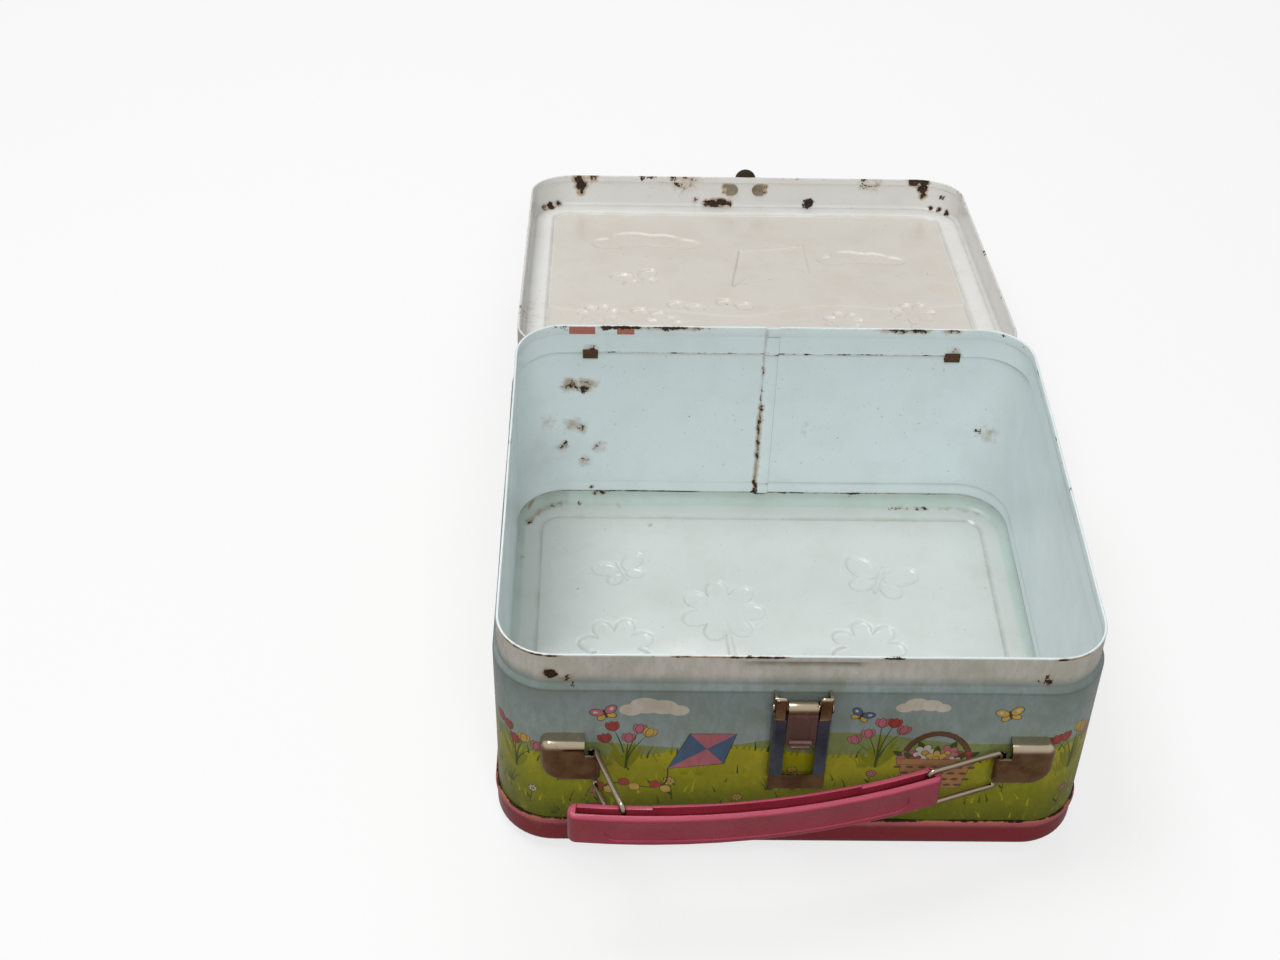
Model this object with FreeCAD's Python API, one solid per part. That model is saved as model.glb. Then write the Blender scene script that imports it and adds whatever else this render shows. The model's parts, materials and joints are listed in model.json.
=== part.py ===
"""Metal lunch box: a printed tin box on its back panel, lid folded open, carrying handle in front.

Millimetres. The origin is the middle of the flat panel that the box rests on, +Z is up,
+Y points to the hinge and -Y to the latch and the handle.
"""
import FreeCAD, Part
import math
import os

from FreeCAD import Vector

# Sheet metal and general fits
SHEET = 0.45              # tinplate of the band, the base pan and the lid
SEAM_FIT = 0.05           # between the band and the pan wall that it stands in
SLOT_FIT = 0.1            # round each tab that passes through a wall
PIN_FIT = 0.05            # radial clearance of a hinge pin
SEAT_GAP = 0.02           # between two sheets that are clamped together
TOUCH = 1e-4              # places closer than this are one place

# Body band
BODY_WIDTH = 203.0
BODY_DEPTH = 180.0
BODY_CORNER = 20.0
STEP_HEIGHT = 80.8        # where the wall steps in to the neck
STEP_RISE = 0.9
RIM_HEIGHT = 95.1
HEM_HEIGHT = 4.5
BAND_FOOT = 7.6           # lower edge of the band, inside the pan
SEAM_WIDTH = 5.5          # lock seam at the hinge side
SEAM_THICK = 0.9
BUMP_SPREAD = 79.0        # friction bumps on the neck, each side of the latch
BUMP_HEIGHT = 85.4
BUMP_RADIUS = 3.2
BUMP_FIT = 0.25           # bump to the closed lid's hem

# Base pan
PAN_TOP = 15.6
PAN_BEND = 4.0
PAN_PANEL_INSET = 9.2
BEAD_HEIGHT = 2.6
BEAD_PROUD = 0.7
BEAD_ROUND = 0.6

# Raised centre panels of the base pan and of the lid
PANEL_RISE = 1.8
PANEL_SLOPE = 2.0
PANEL_CORNER = 9.0

# Lid
LID_GAP = 1.0             # between the step and the closed lid's edge
LID_FIT = 0.6             # between the neck and the closed lid's hem
LID_ROOM = 1.4            # between the rim and the closed lid's border
LID_BEND = 2.0
LID_PANEL_INSET = 9.0
LID_HEM = 3.0
LID_OPEN = 190.0          # angle from closed to the open stop

# Rear hinge
HINGE_LENGTH = 140.0
HINGE_KNUCKLES = 7
HINGE_OFFSET = 1.75       # axis to the wall's outer face
HINGE_LEAF = 11.2         # axis to the free edge of a leaf
HINGE_SHEET = 0.65
HINGE_PIN = 1.6
PIN_CHAMFER = 0.25
KNUCKLE_GAP = 0.3
TAB_SPREAD = 71.5
TAB_WIDTH = 6.0
TAB_RISE = 4.0

# Latch frame, hasp and pin
LATCH_WIDTH = 18.8
LATCH_PROUD = 6.3
LATCH_SHEET = 0.9
LATCH_ROUND = 1.25
LATCH_FOOT = 38.7
RAIL_TOP = 73.7
BLOCK_TOP = 83.0
BLOCK_BACK = 81.2         # the outer cheek's top at the wall
BLOCK_INNER = 76.0        # the inner cheek's top at the wall
BLOCK_SHOULDER = 1.5
BLOCK_PROUD = 6.0
WINDOW_WIDTH = 10.4
WINDOW_FOOT = 46.4
PRONG_WIDTH = 4.0
PRONG_FOLD = 3.5
LATCH_PRONG_SPREAD = 17.5
HASP_FIT = 0.35           # hasp to each pivot block
HASP_LENGTH = 16.8        # pin to the lip
HASP_SHEET = 1.0
HASP_LIP = 0.8
LIP_ROUND = 0.25
HASP_DISH = 0.9
DISH_ROUND = 0.6
HASP_BORDER = 1.0
HASP_CORNER = 1.8
LATCH_PIN = 2.6
LATCH_PIN_HEIGHT = 77.2
LATCH_PIN_PROUD = 4.2     # pin to the wall's outer face
PIN_HEAD = 0.5
PIN_HEAD_LAP = 0.5        # how far a pin's head overhangs the pin
PIN_HEAD_EDGE = 0.1       # upright edge under the head's rounding

# Keeper on the lid, measured up from the closed lid's edge
KEEPER_WIDTH = 18.0
KEEPER_FOOT = 0.4
KEEPER_TOP = 10.0
KEEPER_SHEET = 0.8
KEEPER_CORNER = 1.8
DOME_WIDTH = 8.0
DOME_PROUD = 2.6
DOME_FLAT = 0.7           # upright edge under the dome's rounding
DOME_DROP = 1.2           # how far the dome hangs below the lid's edge
DOME_TOP = 9.6
APRON_RADIUS = 4.9        # half-round foot of the keeper's plate
APRON_DROP = 3.6          # how far it hangs below the lid's edge
KEEPER_PRONG_PLACE = 6.3  # lid's edge to the middle of the prongs
KEEPER_PRONG_SPREAD = 16.8
KEEPER_PRONG_LENGTH = 5.0
KEEPER_PRONG_HEIGHT = 5.6

# Handle: ears, bails and grip
PIVOT_SPREAD = 135.0      # between the two ear pivots
BAIL_WIRE = 2.0
BAIL_REACH = 26.7         # ear pivot to the bar in the grip
BAIL_BEND = 1.9
BAIL_FIT = 0.1
BAIL_CUT = 0.6            # gap where the ends of the wire meet
BAIL_LEFT_ANGLE = 21.0     # lean of each bail towards the middle
BAIL_RIGHT_ANGLE = 70.0
LEG_CLEAR = 0.45          # legs to the grip and to the ear
EAR_LENGTH = 19.8
EAR_HEIGHT = 18.4
EAR_PROUD = 6.0
EAR_SHEET = 0.9
EAR_ROUND = 2.8
EAR_TOP_CORNER = 3.4
EAR_LOW_CORNER = 8.0
EAR_NOTCH = 3.2           # pivot to the cut-back flanges
STRAP_INSET = 1.4         # strap to the bail's lower bend
GRIP_LENGTH = 123.4
GRIP_BOW = 7.0
GRIP_THICK = 6.8
GRIP_HEIGHT = 13.6
GRIP_FOOT = 41.2
GRIP_GAP = 3.4
GRIP_END = 2.6            # end wall
GRIP_FLOOR = 1.8
GRIP_ROUND = 3.0
GRIP_EDGE = 1.5           # rounding along the top and the foot
GRIP_LOW_END = 27.0       # length of the lowered ends of the back wall
GRIP_LOW_DROP = 1.2
GRIP_WIRE_PLACE = 17.6    # left end of the grip to the left bar
GRIP_EASE = 0.5           # the right bar stands off the middle of the gap
GRIP_SLOT_END = 20.0      # inner end of each floor slot, from the end of the grip
OVAL_LENGTH = 101.0
OVAL_HEIGHT = 8.6
OVAL_DEEP = 0.55

# Worked out from the sizes above
FRONT = -BODY_DEPTH / 2
BACK = BODY_DEPTH / 2
NECK_INSET = LID_FIT + 2 * SHEET
BUMP_PROUD = LID_FIT - BUMP_FIT
LID_EDGE = STEP_HEIGHT + LID_GAP
LID_DEPTH = RIM_HEIGHT + LID_ROOM + SHEET - LID_EDGE
HINGE_Y = BACK + HINGE_OFFSET
HINGE_Z = STEP_HEIGHT + LID_GAP / 2
PIN_Y = FRONT - LATCH_PIN_PROUD
PIVOT_X = PIVOT_SPREAD / 2
PIVOT_Y = FRONT - EAR_PROUD + EAR_SHEET + BAIL_FIT + BAIL_WIRE / 2
LEG_LOW = GRIP_FOOT - LEG_CLEAR - BAIL_WIRE / 2
LEG_HIGH = GRIP_FOOT + GRIP_HEIGHT + LEG_CLEAR + BAIL_WIRE / 2
EAR_FOOT = LEG_LOW + BAIL_WIRE / 2 + LEG_CLEAR
EAR_TOP = EAR_FOOT + EAR_HEIGHT
GRIP_RADIUS = ((GRIP_LENGTH / 2) ** 2 + GRIP_BOW ** 2) / (2 * GRIP_BOW)
GRIP_CENTRE_Y = GRIP_RADIUS - GRIP_BOW
FAR = 500.0               # longer than any piece, for cutting tools

X_AXIS = Vector(1, 0, 0)
Y_AXIS = Vector(0, 1, 0)
Z_AXIS = Vector(0, 0, 1)


def box(x0, x1, y0, y1, z0, z1):
    """A box between two corners."""
    return Part.makeBox(x1 - x0, y1 - y0, z1 - z0, Vector(x0, y0, z0))


def rod(radius, start, end):
    """A round rod from one point to another."""
    along = end - start
    return Part.makeCylinder(radius, along.Length, start, along)


def join(shapes):
    """One solid from touching shapes."""
    return shapes[0].multiFuse(shapes[1:]).removeSplitter()


def mirrored(shape):
    """The shape on the other side of the YZ plane."""
    return shape.mirror(Vector(0, 0, 0), X_AXIS)


def rounded_outline(width, depth, corner, z):
    """A rounded rectangle about the Z axis: four lines and four arcs."""
    edges = []
    half_x = width / 2 - corner
    half_y = depth / 2 - corner
    diagonal = corner * math.sqrt(0.5)
    signs = [(1, -1), (1, 1), (-1, 1), (-1, -1)]
    ends = []
    for sx, sy in signs:
        centre = Vector(sx * half_x, sy * half_y, z)
        side = centre + Vector(sx * corner, 0, 0)
        front = centre + Vector(0, sy * corner, 0)
        middle = centre + Vector(sx * diagonal, sy * diagonal, 0)
        first, last = (front, side) if sx * sy < 0 else (side, front)
        ends.append((first, middle, last))
    for index, (first, middle, last) in enumerate(ends):
        following = ends[(index + 1) % len(ends)][0]
        edges.append(Part.Arc(first, middle, last).toShape())
        edges.append(Part.LineSegment(last, following).toShape())
    return Part.Wire(edges)


def slab(width, depth, corner, z0, z1):
    """A rounded rectangular block."""
    face = Part.Face(rounded_outline(width, depth, corner, z0))
    return face.extrude(Vector(0, 0, z1 - z0))


def taper(width, depth, corner, inset, z0, z1):
    """A block that narrows by inset on every side from z0 to z1."""
    low = rounded_outline(width, depth, corner, z0)
    high = rounded_outline(width - 2 * inset, depth - 2 * inset, corner - inset, z1)
    return Part.makeLoft([low, high], True, True)


def edges_at(shape, z):
    """The edges that lie flat at height z."""
    flat = []
    for edge in shape.Edges:
        bounds = edge.BoundBox
        if abs(bounds.ZMin - z) < TOUCH and abs(bounds.ZMax - z) < TOUCH:
            flat.append(edge)
    return flat


def upright_edges(shape):
    """The straight edges that run along Z."""
    found = []
    for edge in shape.Edges:
        bounds = edge.BoundBox
        if max(bounds.XLength, bounds.YLength) < TOUCH and bounds.ZLength > TOUCH:
            found.append(edge)
    return found


# Band

def band_block(inset, drop, z0, z1):
    """The band's wall as a full block, inset from its outer face."""
    width = BODY_WIDTH - 2 * inset
    depth = BODY_DEPTH - 2 * inset
    corner = BODY_CORNER - inset
    low = STEP_HEIGHT - drop
    high = low + STEP_RISE
    wall = slab(width, depth, corner, z0, low)
    step = taper(width, depth, corner, NECK_INSET, low, high)
    neck = slab(width - 2 * NECK_INSET, depth - 2 * NECK_INSET, corner - NECK_INSET, high, z1)
    return join([wall, step, neck])


def hem_ring():
    """The rim's edge, folded down inside the neck."""
    outer = NECK_INSET + SHEET
    inner = outer + SHEET
    low = RIM_HEIGHT - HEM_HEIGHT
    ring = slab(BODY_WIDTH - 2 * outer, BODY_DEPTH - 2 * outer, BODY_CORNER - outer, low, RIM_HEIGHT)
    hole = slab(BODY_WIDTH - 2 * inner, BODY_DEPTH - 2 * inner, BODY_CORNER - inner, low, RIM_HEIGHT)
    return ring.cut(hole)


def lock_seam():
    """The folded seam that closes the band, a flat rib inside the hinge wall."""
    half = SEAM_WIDTH / 2
    wall = BACK - SHEET
    neck = wall - NECK_INSET
    low = box(-half, half, wall - SEAM_THICK, wall, BAND_FOOT, STEP_HEIGHT)
    high = box(-half, half, neck - SEAM_THICK, neck, STEP_HEIGHT, RIM_HEIGHT)
    return [low, high]


def friction_bump(x):
    """A shallow pressed bump that holds the closed lid."""
    ball = (BUMP_RADIUS ** 2 + BUMP_PROUD ** 2) / (2 * BUMP_PROUD)
    face = FRONT + NECK_INSET
    sphere = Part.makeSphere(ball, Vector(x, face - BUMP_PROUD + ball, BUMP_HEIGHT))
    keep = box(x - ball, x + ball, face - ball, face + SHEET, BUMP_HEIGHT - ball, BUMP_HEIGHT + ball)
    return sphere.common(keep)


def make_body_band():
    slope = math.hypot(NECK_INSET, STEP_RISE)
    drop = SHEET * (slope - STEP_RISE) / NECK_INSET
    outer = band_block(0, 0, BAND_FOOT, RIM_HEIGHT)
    inner = band_block(SHEET, drop, BAND_FOOT, RIM_HEIGHT)
    bumps = [friction_bump(-BUMP_SPREAD), friction_bump(BUMP_SPREAD)]
    band = join([outer.cut(inner), hem_ring()] + lock_seam() + bumps)
    slots = [grown_tab(tab) for tab in hinge_tab_necks() + ear_prong_necks() + latch_prong_necks()]
    return band.cut(Part.makeCompound(slots))


def grown_tab(limits):
    """The slot for a tab: the tab's box with clearance along the wall."""
    x0, x1, y0, y1, z0, z1 = limits
    return box(x0 - SLOT_FIT, x1 + SLOT_FIT, y0, y1, z0 - SLOT_FIT, z1 + SLOT_FIT)


# Drawn pans: base pan and lid

def pan_block(width, depth, corner, height, bend, panel_inset, inset):
    """The full block of a drawn pan, mouth up, its centre panel at z = 0, inset from the outer face."""
    low = PANEL_RISE
    wall = slab(width - 2 * inset, depth - 2 * inset, corner - inset, low + inset, low + height)
    wall = wall.makeFillet(bend - inset, edges_at(wall, low + inset))
    slope = math.hypot(PANEL_SLOPE, PANEL_RISE)
    edge = panel_inset + inset * (slope - PANEL_SLOPE) / PANEL_RISE
    panel = taper(width - 2 * edge, depth - 2 * edge, PANEL_CORNER, PANEL_SLOPE, low + inset, inset)
    return join([wall, panel])


def drawn_pan(width, depth, corner, height, bend, panel_inset):
    """A sheet metal pan of even thickness."""
    outer = pan_block(width, depth, corner, height, bend, panel_inset, 0)
    inner = pan_block(width, depth, corner, height, bend, panel_inset, SHEET)
    return outer.cut(inner)


def make_base_pan():
    lap = SEAM_FIT + SHEET
    width = BODY_WIDTH + 2 * lap
    depth = BODY_DEPTH + 2 * lap
    corner = BODY_CORNER + lap
    pan = drawn_pan(width, depth, corner, PAN_TOP - PANEL_RISE, PAN_BEND, PAN_PANEL_INSET)
    low = PAN_TOP - BEAD_HEIGHT
    proud = 2 * BEAD_PROUD
    bead = slab(width + proud, depth + proud, corner + BEAD_PROUD, low, PAN_TOP)
    bead = bead.makeFillet(BEAD_ROUND, edges_at(bead, low) + edges_at(bead, PAN_TOP))
    bead = bead.cut(slab(width - SHEET, depth - SHEET, corner - SHEET / 2, low, PAN_TOP))
    return join([pan, bead])


def lid_blank():
    """The lid shell, closed over the neck."""
    pan = drawn_pan(BODY_WIDTH, BODY_DEPTH, BODY_CORNER, LID_DEPTH, LID_BEND, LID_PANEL_INSET)
    rim = PANEL_RISE + LID_DEPTH
    inner = 2 * SHEET
    ring = slab(BODY_WIDTH - inner, BODY_DEPTH - inner, BODY_CORNER - SHEET, rim - LID_HEM, rim)
    hole = slab(BODY_WIDTH - 2 * inner, BODY_DEPTH - 2 * inner, BODY_CORNER - inner, rim - LID_HEM, rim)
    shell = join([pan, ring.cut(hole)])
    shell.rotate(Vector(0, 0, 0), X_AXIS, 180)
    shell.translate(Vector(0, 0, LID_EDGE + rim))
    return shell


def opened(shape):
    """A piece of the lid, turned from closed to the open stop."""
    turned = shape.copy()
    turned.rotate(Vector(0, HINGE_Y, HINGE_Z), X_AXIS, -LID_OPEN)
    return turned


def make_lid_shell():
    slots = [grown_tab(limits) for limits in keeper_prong_necks()]
    return opened(lid_blank().cut(Part.makeCompound(slots)))


# Rear hinge

def knuckle_ring(first, last):
    """One knuckle between two places along X."""
    outer = HINGE_PIN / 2 + PIN_FIT + HINGE_SHEET
    return rod(outer, Vector(first, HINGE_Y, HINGE_Z), Vector(last, HINGE_Y, HINGE_Z))


def knuckle_places(parity):
    """The X ranges of every second knuckle."""
    pitch = HINGE_LENGTH / HINGE_KNUCKLES
    places = []
    for index in range(parity, HINGE_KNUCKLES, 2):
        start = -HINGE_LENGTH / 2 + index * pitch
        places.append((start + KNUCKLE_GAP / 2, start + pitch - KNUCKLE_GAP / 2))
    return places


def hinge_leaf(parity, side):
    """A leaf against the outer face of the wall, side -1 below the axis or +1 above it."""
    back = BACK + SEAT_GAP
    front = back + HINGE_SHEET
    clear = HINGE_PIN / 2 + PIN_FIT + HINGE_SHEET + KNUCKLE_GAP
    half = HINGE_LENGTH / 2
    low, high = sorted((HINGE_Z + side * HINGE_LEAF, HINGE_Z + side * clear))
    pieces = [box(-half, half, back, front, low, high)]
    for first, last in knuckle_places(parity):
        low, high = sorted((HINGE_Z + side * clear, HINGE_Z))
        pieces.append(box(first, last, back, front, low, high))
        pieces.append(knuckle_ring(first, last))
    leaf = join(pieces)
    bore = rod(HINGE_PIN / 2 + PIN_FIT, Vector(-half, HINGE_Y, HINGE_Z), Vector(half, HINGE_Y, HINGE_Z))
    return leaf.cut(bore)


def hinge_tab_necks():
    """The parts of the hinge tabs that lie in the wall."""
    top = STEP_HEIGHT - STEP_RISE
    necks = []
    for x in (-TAB_SPREAD, TAB_SPREAD):
        left = x - TAB_WIDTH / 2
        necks.append((left, left + TAB_WIDTH, tab_inside(), BACK + SEAT_GAP, top - HINGE_SHEET, top))
    return necks


def tab_inside():
    """The inner face of the clinched hinge tabs."""
    return BACK - NECK_INSET - SHEET - SEAT_GAP - HINGE_SHEET


def make_body_hinge_leaf():
    leaf = hinge_leaf(0, -1)
    pieces = [leaf]
    for x0, x1, y0, y1, z0, z1 in hinge_tab_necks():
        pieces.append(box(x0, x1, y0, y1 + HINGE_SHEET, z0, z1))
        pieces.append(box(x0, x1, y1, y1 + HINGE_SHEET, HINGE_Z - HINGE_LEAF, z1))
        pieces.append(box(x0, x1, y0, y0 + HINGE_SHEET, z0, z0 + TAB_RISE))
    return join(pieces)


def make_lid_hinge_leaf():
    return opened(hinge_leaf(1, 1))


def make_hinge_pin():
    half = HINGE_LENGTH / 2 + KNUCKLE_GAP
    pin = rod(HINGE_PIN / 2, Vector(-half, HINGE_Y, HINGE_Z), Vector(half, HINGE_Y, HINGE_Z))
    return pin.makeChamfer(PIN_CHAMFER, [edge for edge in pin.Edges if edge.Closed])


# Keeper on the lid

def keeper_prong_necks():
    """The parts of the keeper's prongs that lie in the lid's wall, lid closed."""
    middle = LID_EDGE + KEEPER_PRONG_PLACE
    half = KEEPER_PRONG_HEIGHT / 2
    necks = []
    for side in (-1, 1):
        x = side * KEEPER_PRONG_SPREAD / 2
        necks.append((x - KEEPER_SHEET / 2, x + KEEPER_SHEET / 2, FRONT - SEAT_GAP,
                      FRONT + SHEET + SEAT_GAP + KEEPER_SHEET, middle - half, middle + half))
    return necks


def keeper_dome():
    """The rounded nose in the middle of the keeper."""
    face = FRONT - SEAT_GAP
    low = LID_EDGE - DOME_DROP
    high = LID_EDGE + DOME_TOP
    half = DOME_WIDTH / 2
    dome = box(-half, half, face - DOME_PROUD, face, low, high)
    rounding = min(half, DOME_PROUD) - DOME_FLAT
    outer = [edge for edge in dome.Edges if edge.BoundBox.YMax < face - DOME_PROUD + TOUCH]
    return dome.makeFillet(rounding, outer)


def make_lid_keeper():
    face = FRONT - SEAT_GAP
    half = KEEPER_WIDTH / 2
    plate = box(-half, half, face - KEEPER_SHEET, face, LID_EDGE + KEEPER_FOOT, LID_EDGE + KEEPER_TOP)
    sides = [edge for edge in plate.Edges if edge.BoundBox.YLength > KEEPER_SHEET / 2]
    plate = plate.makeFillet(KEEPER_CORNER, sides)
    apron_middle = Vector(0, face - KEEPER_SHEET, LID_EDGE - APRON_DROP + APRON_RADIUS)
    apron = Part.makeCylinder(APRON_RADIUS, KEEPER_SHEET, apron_middle, Y_AXIS)
    pieces = [plate, apron, keeper_dome()]
    for x0, x1, y0, y1, z0, z1 in keeper_prong_necks():
        pieces.append(box(x0, x1, y0 - KEEPER_SHEET, y1, z0, z1))
        pieces.append(keeper_prong(x0, x1, y1, z0, z1))
    return opened(join(pieces))


def keeper_prong(x0, x1, inside, z0, z1):
    """A prong with a half-round end, folded flat inside the lid towards the middle."""
    radius = (z1 - z0) / 2
    centre = Vector((x0 + x1) / 2, inside - KEEPER_SHEET, (z0 + z1) / 2)
    toward = -1 if centre.x > 0 else 1
    straight = toward * (KEEPER_PRONG_LENGTH - radius)
    disc = Part.makeCylinder(radius, KEEPER_SHEET, centre + Vector(straight, 0, 0), Y_AXIS)
    near, far = sorted((centre.x, centre.x + straight))
    strap = box(near, far, centre.y, inside, z0, z1)
    near, far = sorted((centre.x, centre.x + toward * KEEPER_PRONG_LENGTH))
    keep = box(near, far, centre.y, inside, z0, z1)
    return join([disc.common(keep), strap])


# Latch

def latch_prong_necks():
    """The parts of the latch prongs that lie in the wall."""
    inside = FRONT + SHEET + SEAT_GAP
    edge = LATCH_WIDTH / 2
    middle = (LATCH_FOOT + RAIL_TOP) / 2
    gap = LATCH_PRONG_SPREAD / 2
    necks = []
    for side in (-1, 1):
        for height in (middle - gap, middle + gap):
            near, far = sorted((side * edge, side * (edge - LATCH_SHEET)))
            low = height - PRONG_WIDTH / 2
            necks.append((near, far, FRONT, inside + LATCH_SHEET, low, low + PRONG_WIDTH))
    return necks


def wedge(x0, x1, corners):
    """A prism between x0 and x1 on corners given as (y, z)."""
    points = [Vector(x0, y, z) for y, z in corners]
    return Part.Face(Part.makePolygon(points + points[:1])).extrude(Vector(x1 - x0, 0, 0))


def latch_block(side):
    """One pivot block: sheet folded round three sides, its cheeks cut down towards the wall."""
    inner = WINDOW_WIDTH / 2
    outer = LATCH_WIDTH / 2
    near, far = sorted((side * inner, side * outer))
    face = FRONT - BLOCK_PROUD
    block = box(near, far, face, FRONT, RAIL_TOP, BLOCK_TOP)
    shoulder = [edge for edge in block.Edges
                if edge.BoundBox.ZMin > BLOCK_TOP - TOUCH and abs(edge.BoundBox.XMin - side * inner) < TOUCH
                and edge.BoundBox.XLength < TOUCH]
    block = block.makeFillet(BLOCK_SHOULDER, shoulder)
    upright = [edge for edge in block.Edges
               if edge.BoundBox.YMax < face + TOUCH and edge.BoundBox.ZLength > LATCH_SHEET]
    block = block.makeFillet(LATCH_SHEET, upright)
    back = face + LATCH_SHEET
    cheek_near, cheek_far = sorted((side * inner, side * (inner + LATCH_SHEET)))
    cuts = ((near, far, BLOCK_TOP, BLOCK_BACK),
            (cheek_near, cheek_far, BLOCK_TOP - BLOCK_SHOULDER, BLOCK_INNER))
    for x0, x1, high, low in cuts:
        block = block.cut(wedge(x0, x1, [(back, high), (FRONT, low), (FRONT, FAR), (back, FAR)]))
    hollow = box(near + LATCH_SHEET, far - LATCH_SHEET, face + LATCH_SHEET, FRONT, RAIL_TOP, BLOCK_TOP)
    return block.cut(hollow)


def latch_frame_shell():
    """The frame's raised cover with its window, folded down to the wall at the sides and the foot."""
    half = LATCH_WIDTH / 2
    face = FRONT - LATCH_PROUD
    cover = box(-half, half, face, FRONT, LATCH_FOOT, RAIL_TOP)
    rounded = [edge for edge in cover.Edges
               if edge.BoundBox.YMax < face + TOUCH and edge.BoundBox.ZMin < RAIL_TOP - TOUCH]
    cover = cover.makeFillet(LATCH_ROUND, rounded)
    hollow = box(-half + LATCH_SHEET, half - LATCH_SHEET, face + LATCH_SHEET, FRONT,
                 LATCH_FOOT + LATCH_SHEET, RAIL_TOP)
    window = box(-WINDOW_WIDTH / 2, WINDOW_WIDTH / 2, face, FRONT, WINDOW_FOOT, RAIL_TOP)
    return cover.cut(hollow).cut(window)


def make_latch_frame():
    pieces = [latch_frame_shell(), latch_block(-1), latch_block(1)]
    for x0, x1, y0, y1, z0, z1 in latch_prong_necks():
        pieces.append(box(x0, x1, y0, y1, z0, z1))
        near, far = (x0, x0 + PRONG_FOLD) if x0 < 0 else (x1 - PRONG_FOLD, x1)
        pieces.append(box(near, far, y1 - LATCH_SHEET, y1, z0, z1))
    frame = join(pieces)
    far = LATCH_WIDTH
    bore = rod(LATCH_PIN / 2 + PIN_FIT, Vector(-far, PIN_Y, LATCH_PIN_HEIGHT),
               Vector(far, PIN_Y, LATCH_PIN_HEIGHT))
    return frame.cut(bore)


def make_latch_pin():
    half = LATCH_WIDTH / 2 + PIN_FIT
    pin = rod(LATCH_PIN / 2, Vector(-half, PIN_Y, LATCH_PIN_HEIGHT), Vector(half, PIN_Y, LATCH_PIN_HEIGHT))
    pieces = [pin]
    for side in (-1, 1):
        start = Vector(side * half, PIN_Y, LATCH_PIN_HEIGHT)
        head = rod(LATCH_PIN / 2 + PIN_HEAD_LAP, start, start + Vector(side * PIN_HEAD, 0, 0))
        tip = [edge for edge in head.Edges if edge.Closed and abs(edge.BoundBox.XMin) > half + PIN_HEAD / 2]
        pieces.append(head.makeFillet(PIN_HEAD - PIN_HEAD_EDGE, tip))
    return join(pieces)


def make_latch_hasp():
    """The tongue: rolled round the pin, a dished plate with a border, and an outward lip."""
    half = WINDOW_WIDTH / 2 - HASP_FIT
    bore = LATCH_PIN / 2 + PIN_FIT
    roll = bore + HASP_SHEET
    start = Vector(-half, PIN_Y, LATCH_PIN_HEIGHT)
    end = Vector(half, PIN_Y, LATCH_PIN_HEIGHT)
    face = PIN_Y - roll
    foot = LATCH_PIN_HEIGHT - HASP_LENGTH
    border = box(-half, half, face, face + HASP_SHEET, foot, LATCH_PIN_HEIGHT)
    foot_corners = [edge for edge in border.Edges
                    if edge.BoundBox.YLength > HASP_SHEET / 2 and edge.BoundBox.ZMax < foot + TOUCH]
    border = border.makeFillet(HASP_CORNER, foot_corners)
    dish_half = half - HASP_BORDER
    dish_low = foot + HASP_SHEET + HASP_BORDER
    dish_high = LATCH_PIN_HEIGHT - roll - HASP_BORDER
    back = box(-dish_half - HASP_SHEET / 2, dish_half + HASP_SHEET / 2, face, face + HASP_DISH + HASP_SHEET,
               dish_low - HASP_SHEET / 2, dish_high + HASP_SHEET / 2)
    lip_half = half - HASP_CORNER
    lip = box(-lip_half, lip_half, face - HASP_LIP, face + HASP_SHEET, foot, foot + HASP_SHEET)
    roll_edge = [edge for edge in lip.Edges if edge.BoundBox.YMax < face - HASP_LIP + TOUCH]
    lip = lip.makeFillet(LIP_ROUND, roll_edge)
    hasp = join([border, back, lip, rod(roll, start, end)])
    dish = box(-dish_half, dish_half, face - HASP_SHEET, face + HASP_DISH, dish_low, dish_high)
    dish = dish.makeFillet(DISH_ROUND, [edge for edge in dish.Edges if edge.BoundBox.YMin > face])
    return hasp.cut(dish).cut(rod(bore, start, end))


# Handle

def ear_outline(inset, y):
    """The left ear's outline on the wall: an outer end with a small corner above and a large one below."""
    inner = -PIVOT_X - EAR_NOTCH
    outer = -PIVOT_X + ear_curl() - EAR_LENGTH + inset
    low, high = EAR_FOOT + inset, EAR_TOP - inset
    above, below = EAR_TOP_CORNER - inset, EAR_LOW_CORNER - inset
    cut = 1 - math.sqrt(0.5)
    top = [Vector(outer + above, y, high), Vector(outer + above * cut, y, high - above * cut),
           Vector(outer, y, high - above)]
    foot = [Vector(outer, y, low + below), Vector(outer + below * cut, y, low + below * cut),
            Vector(outer + below, y, low)]
    top_in, low_in = Vector(inner, y, high), Vector(inner, y, low)
    edges = [Part.LineSegment(top_in, top[0]).toShape(), Part.Arc(*top).toShape(),
             Part.LineSegment(top[2], foot[0]).toShape(), Part.Arc(*foot).toShape(),
             Part.LineSegment(foot[2], low_in).toShape(), Part.LineSegment(low_in, top_in).toShape()]
    return Part.Face(Part.Wire(edges))


def ear_curl():
    """The outer radius of the strap that is curled round the bail."""
    return BAIL_WIRE / 2 + BAIL_FIT + EAR_SHEET


def ear_cap():
    """The ear's pressed cap, open to the wall and at its inner end."""
    return ear_block(0).cut(ear_block(EAR_SHEET))


def ear_block(inset):
    """The cap as a solid block, moved in from its outer faces, with its front edge rounded."""
    face = FRONT - EAR_PROUD + inset
    block = ear_outline(inset, face).extrude(Vector(0, EAR_PROUD, 0))
    inner = -PIVOT_X - EAR_NOTCH
    rim = [edge for edge in block.Edges
           if edge.BoundBox.YMax < face + TOUCH and edge.BoundBox.XMin < inner - TOUCH]
    return block.makeFillet(EAR_ROUND - inset, rim)


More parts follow.
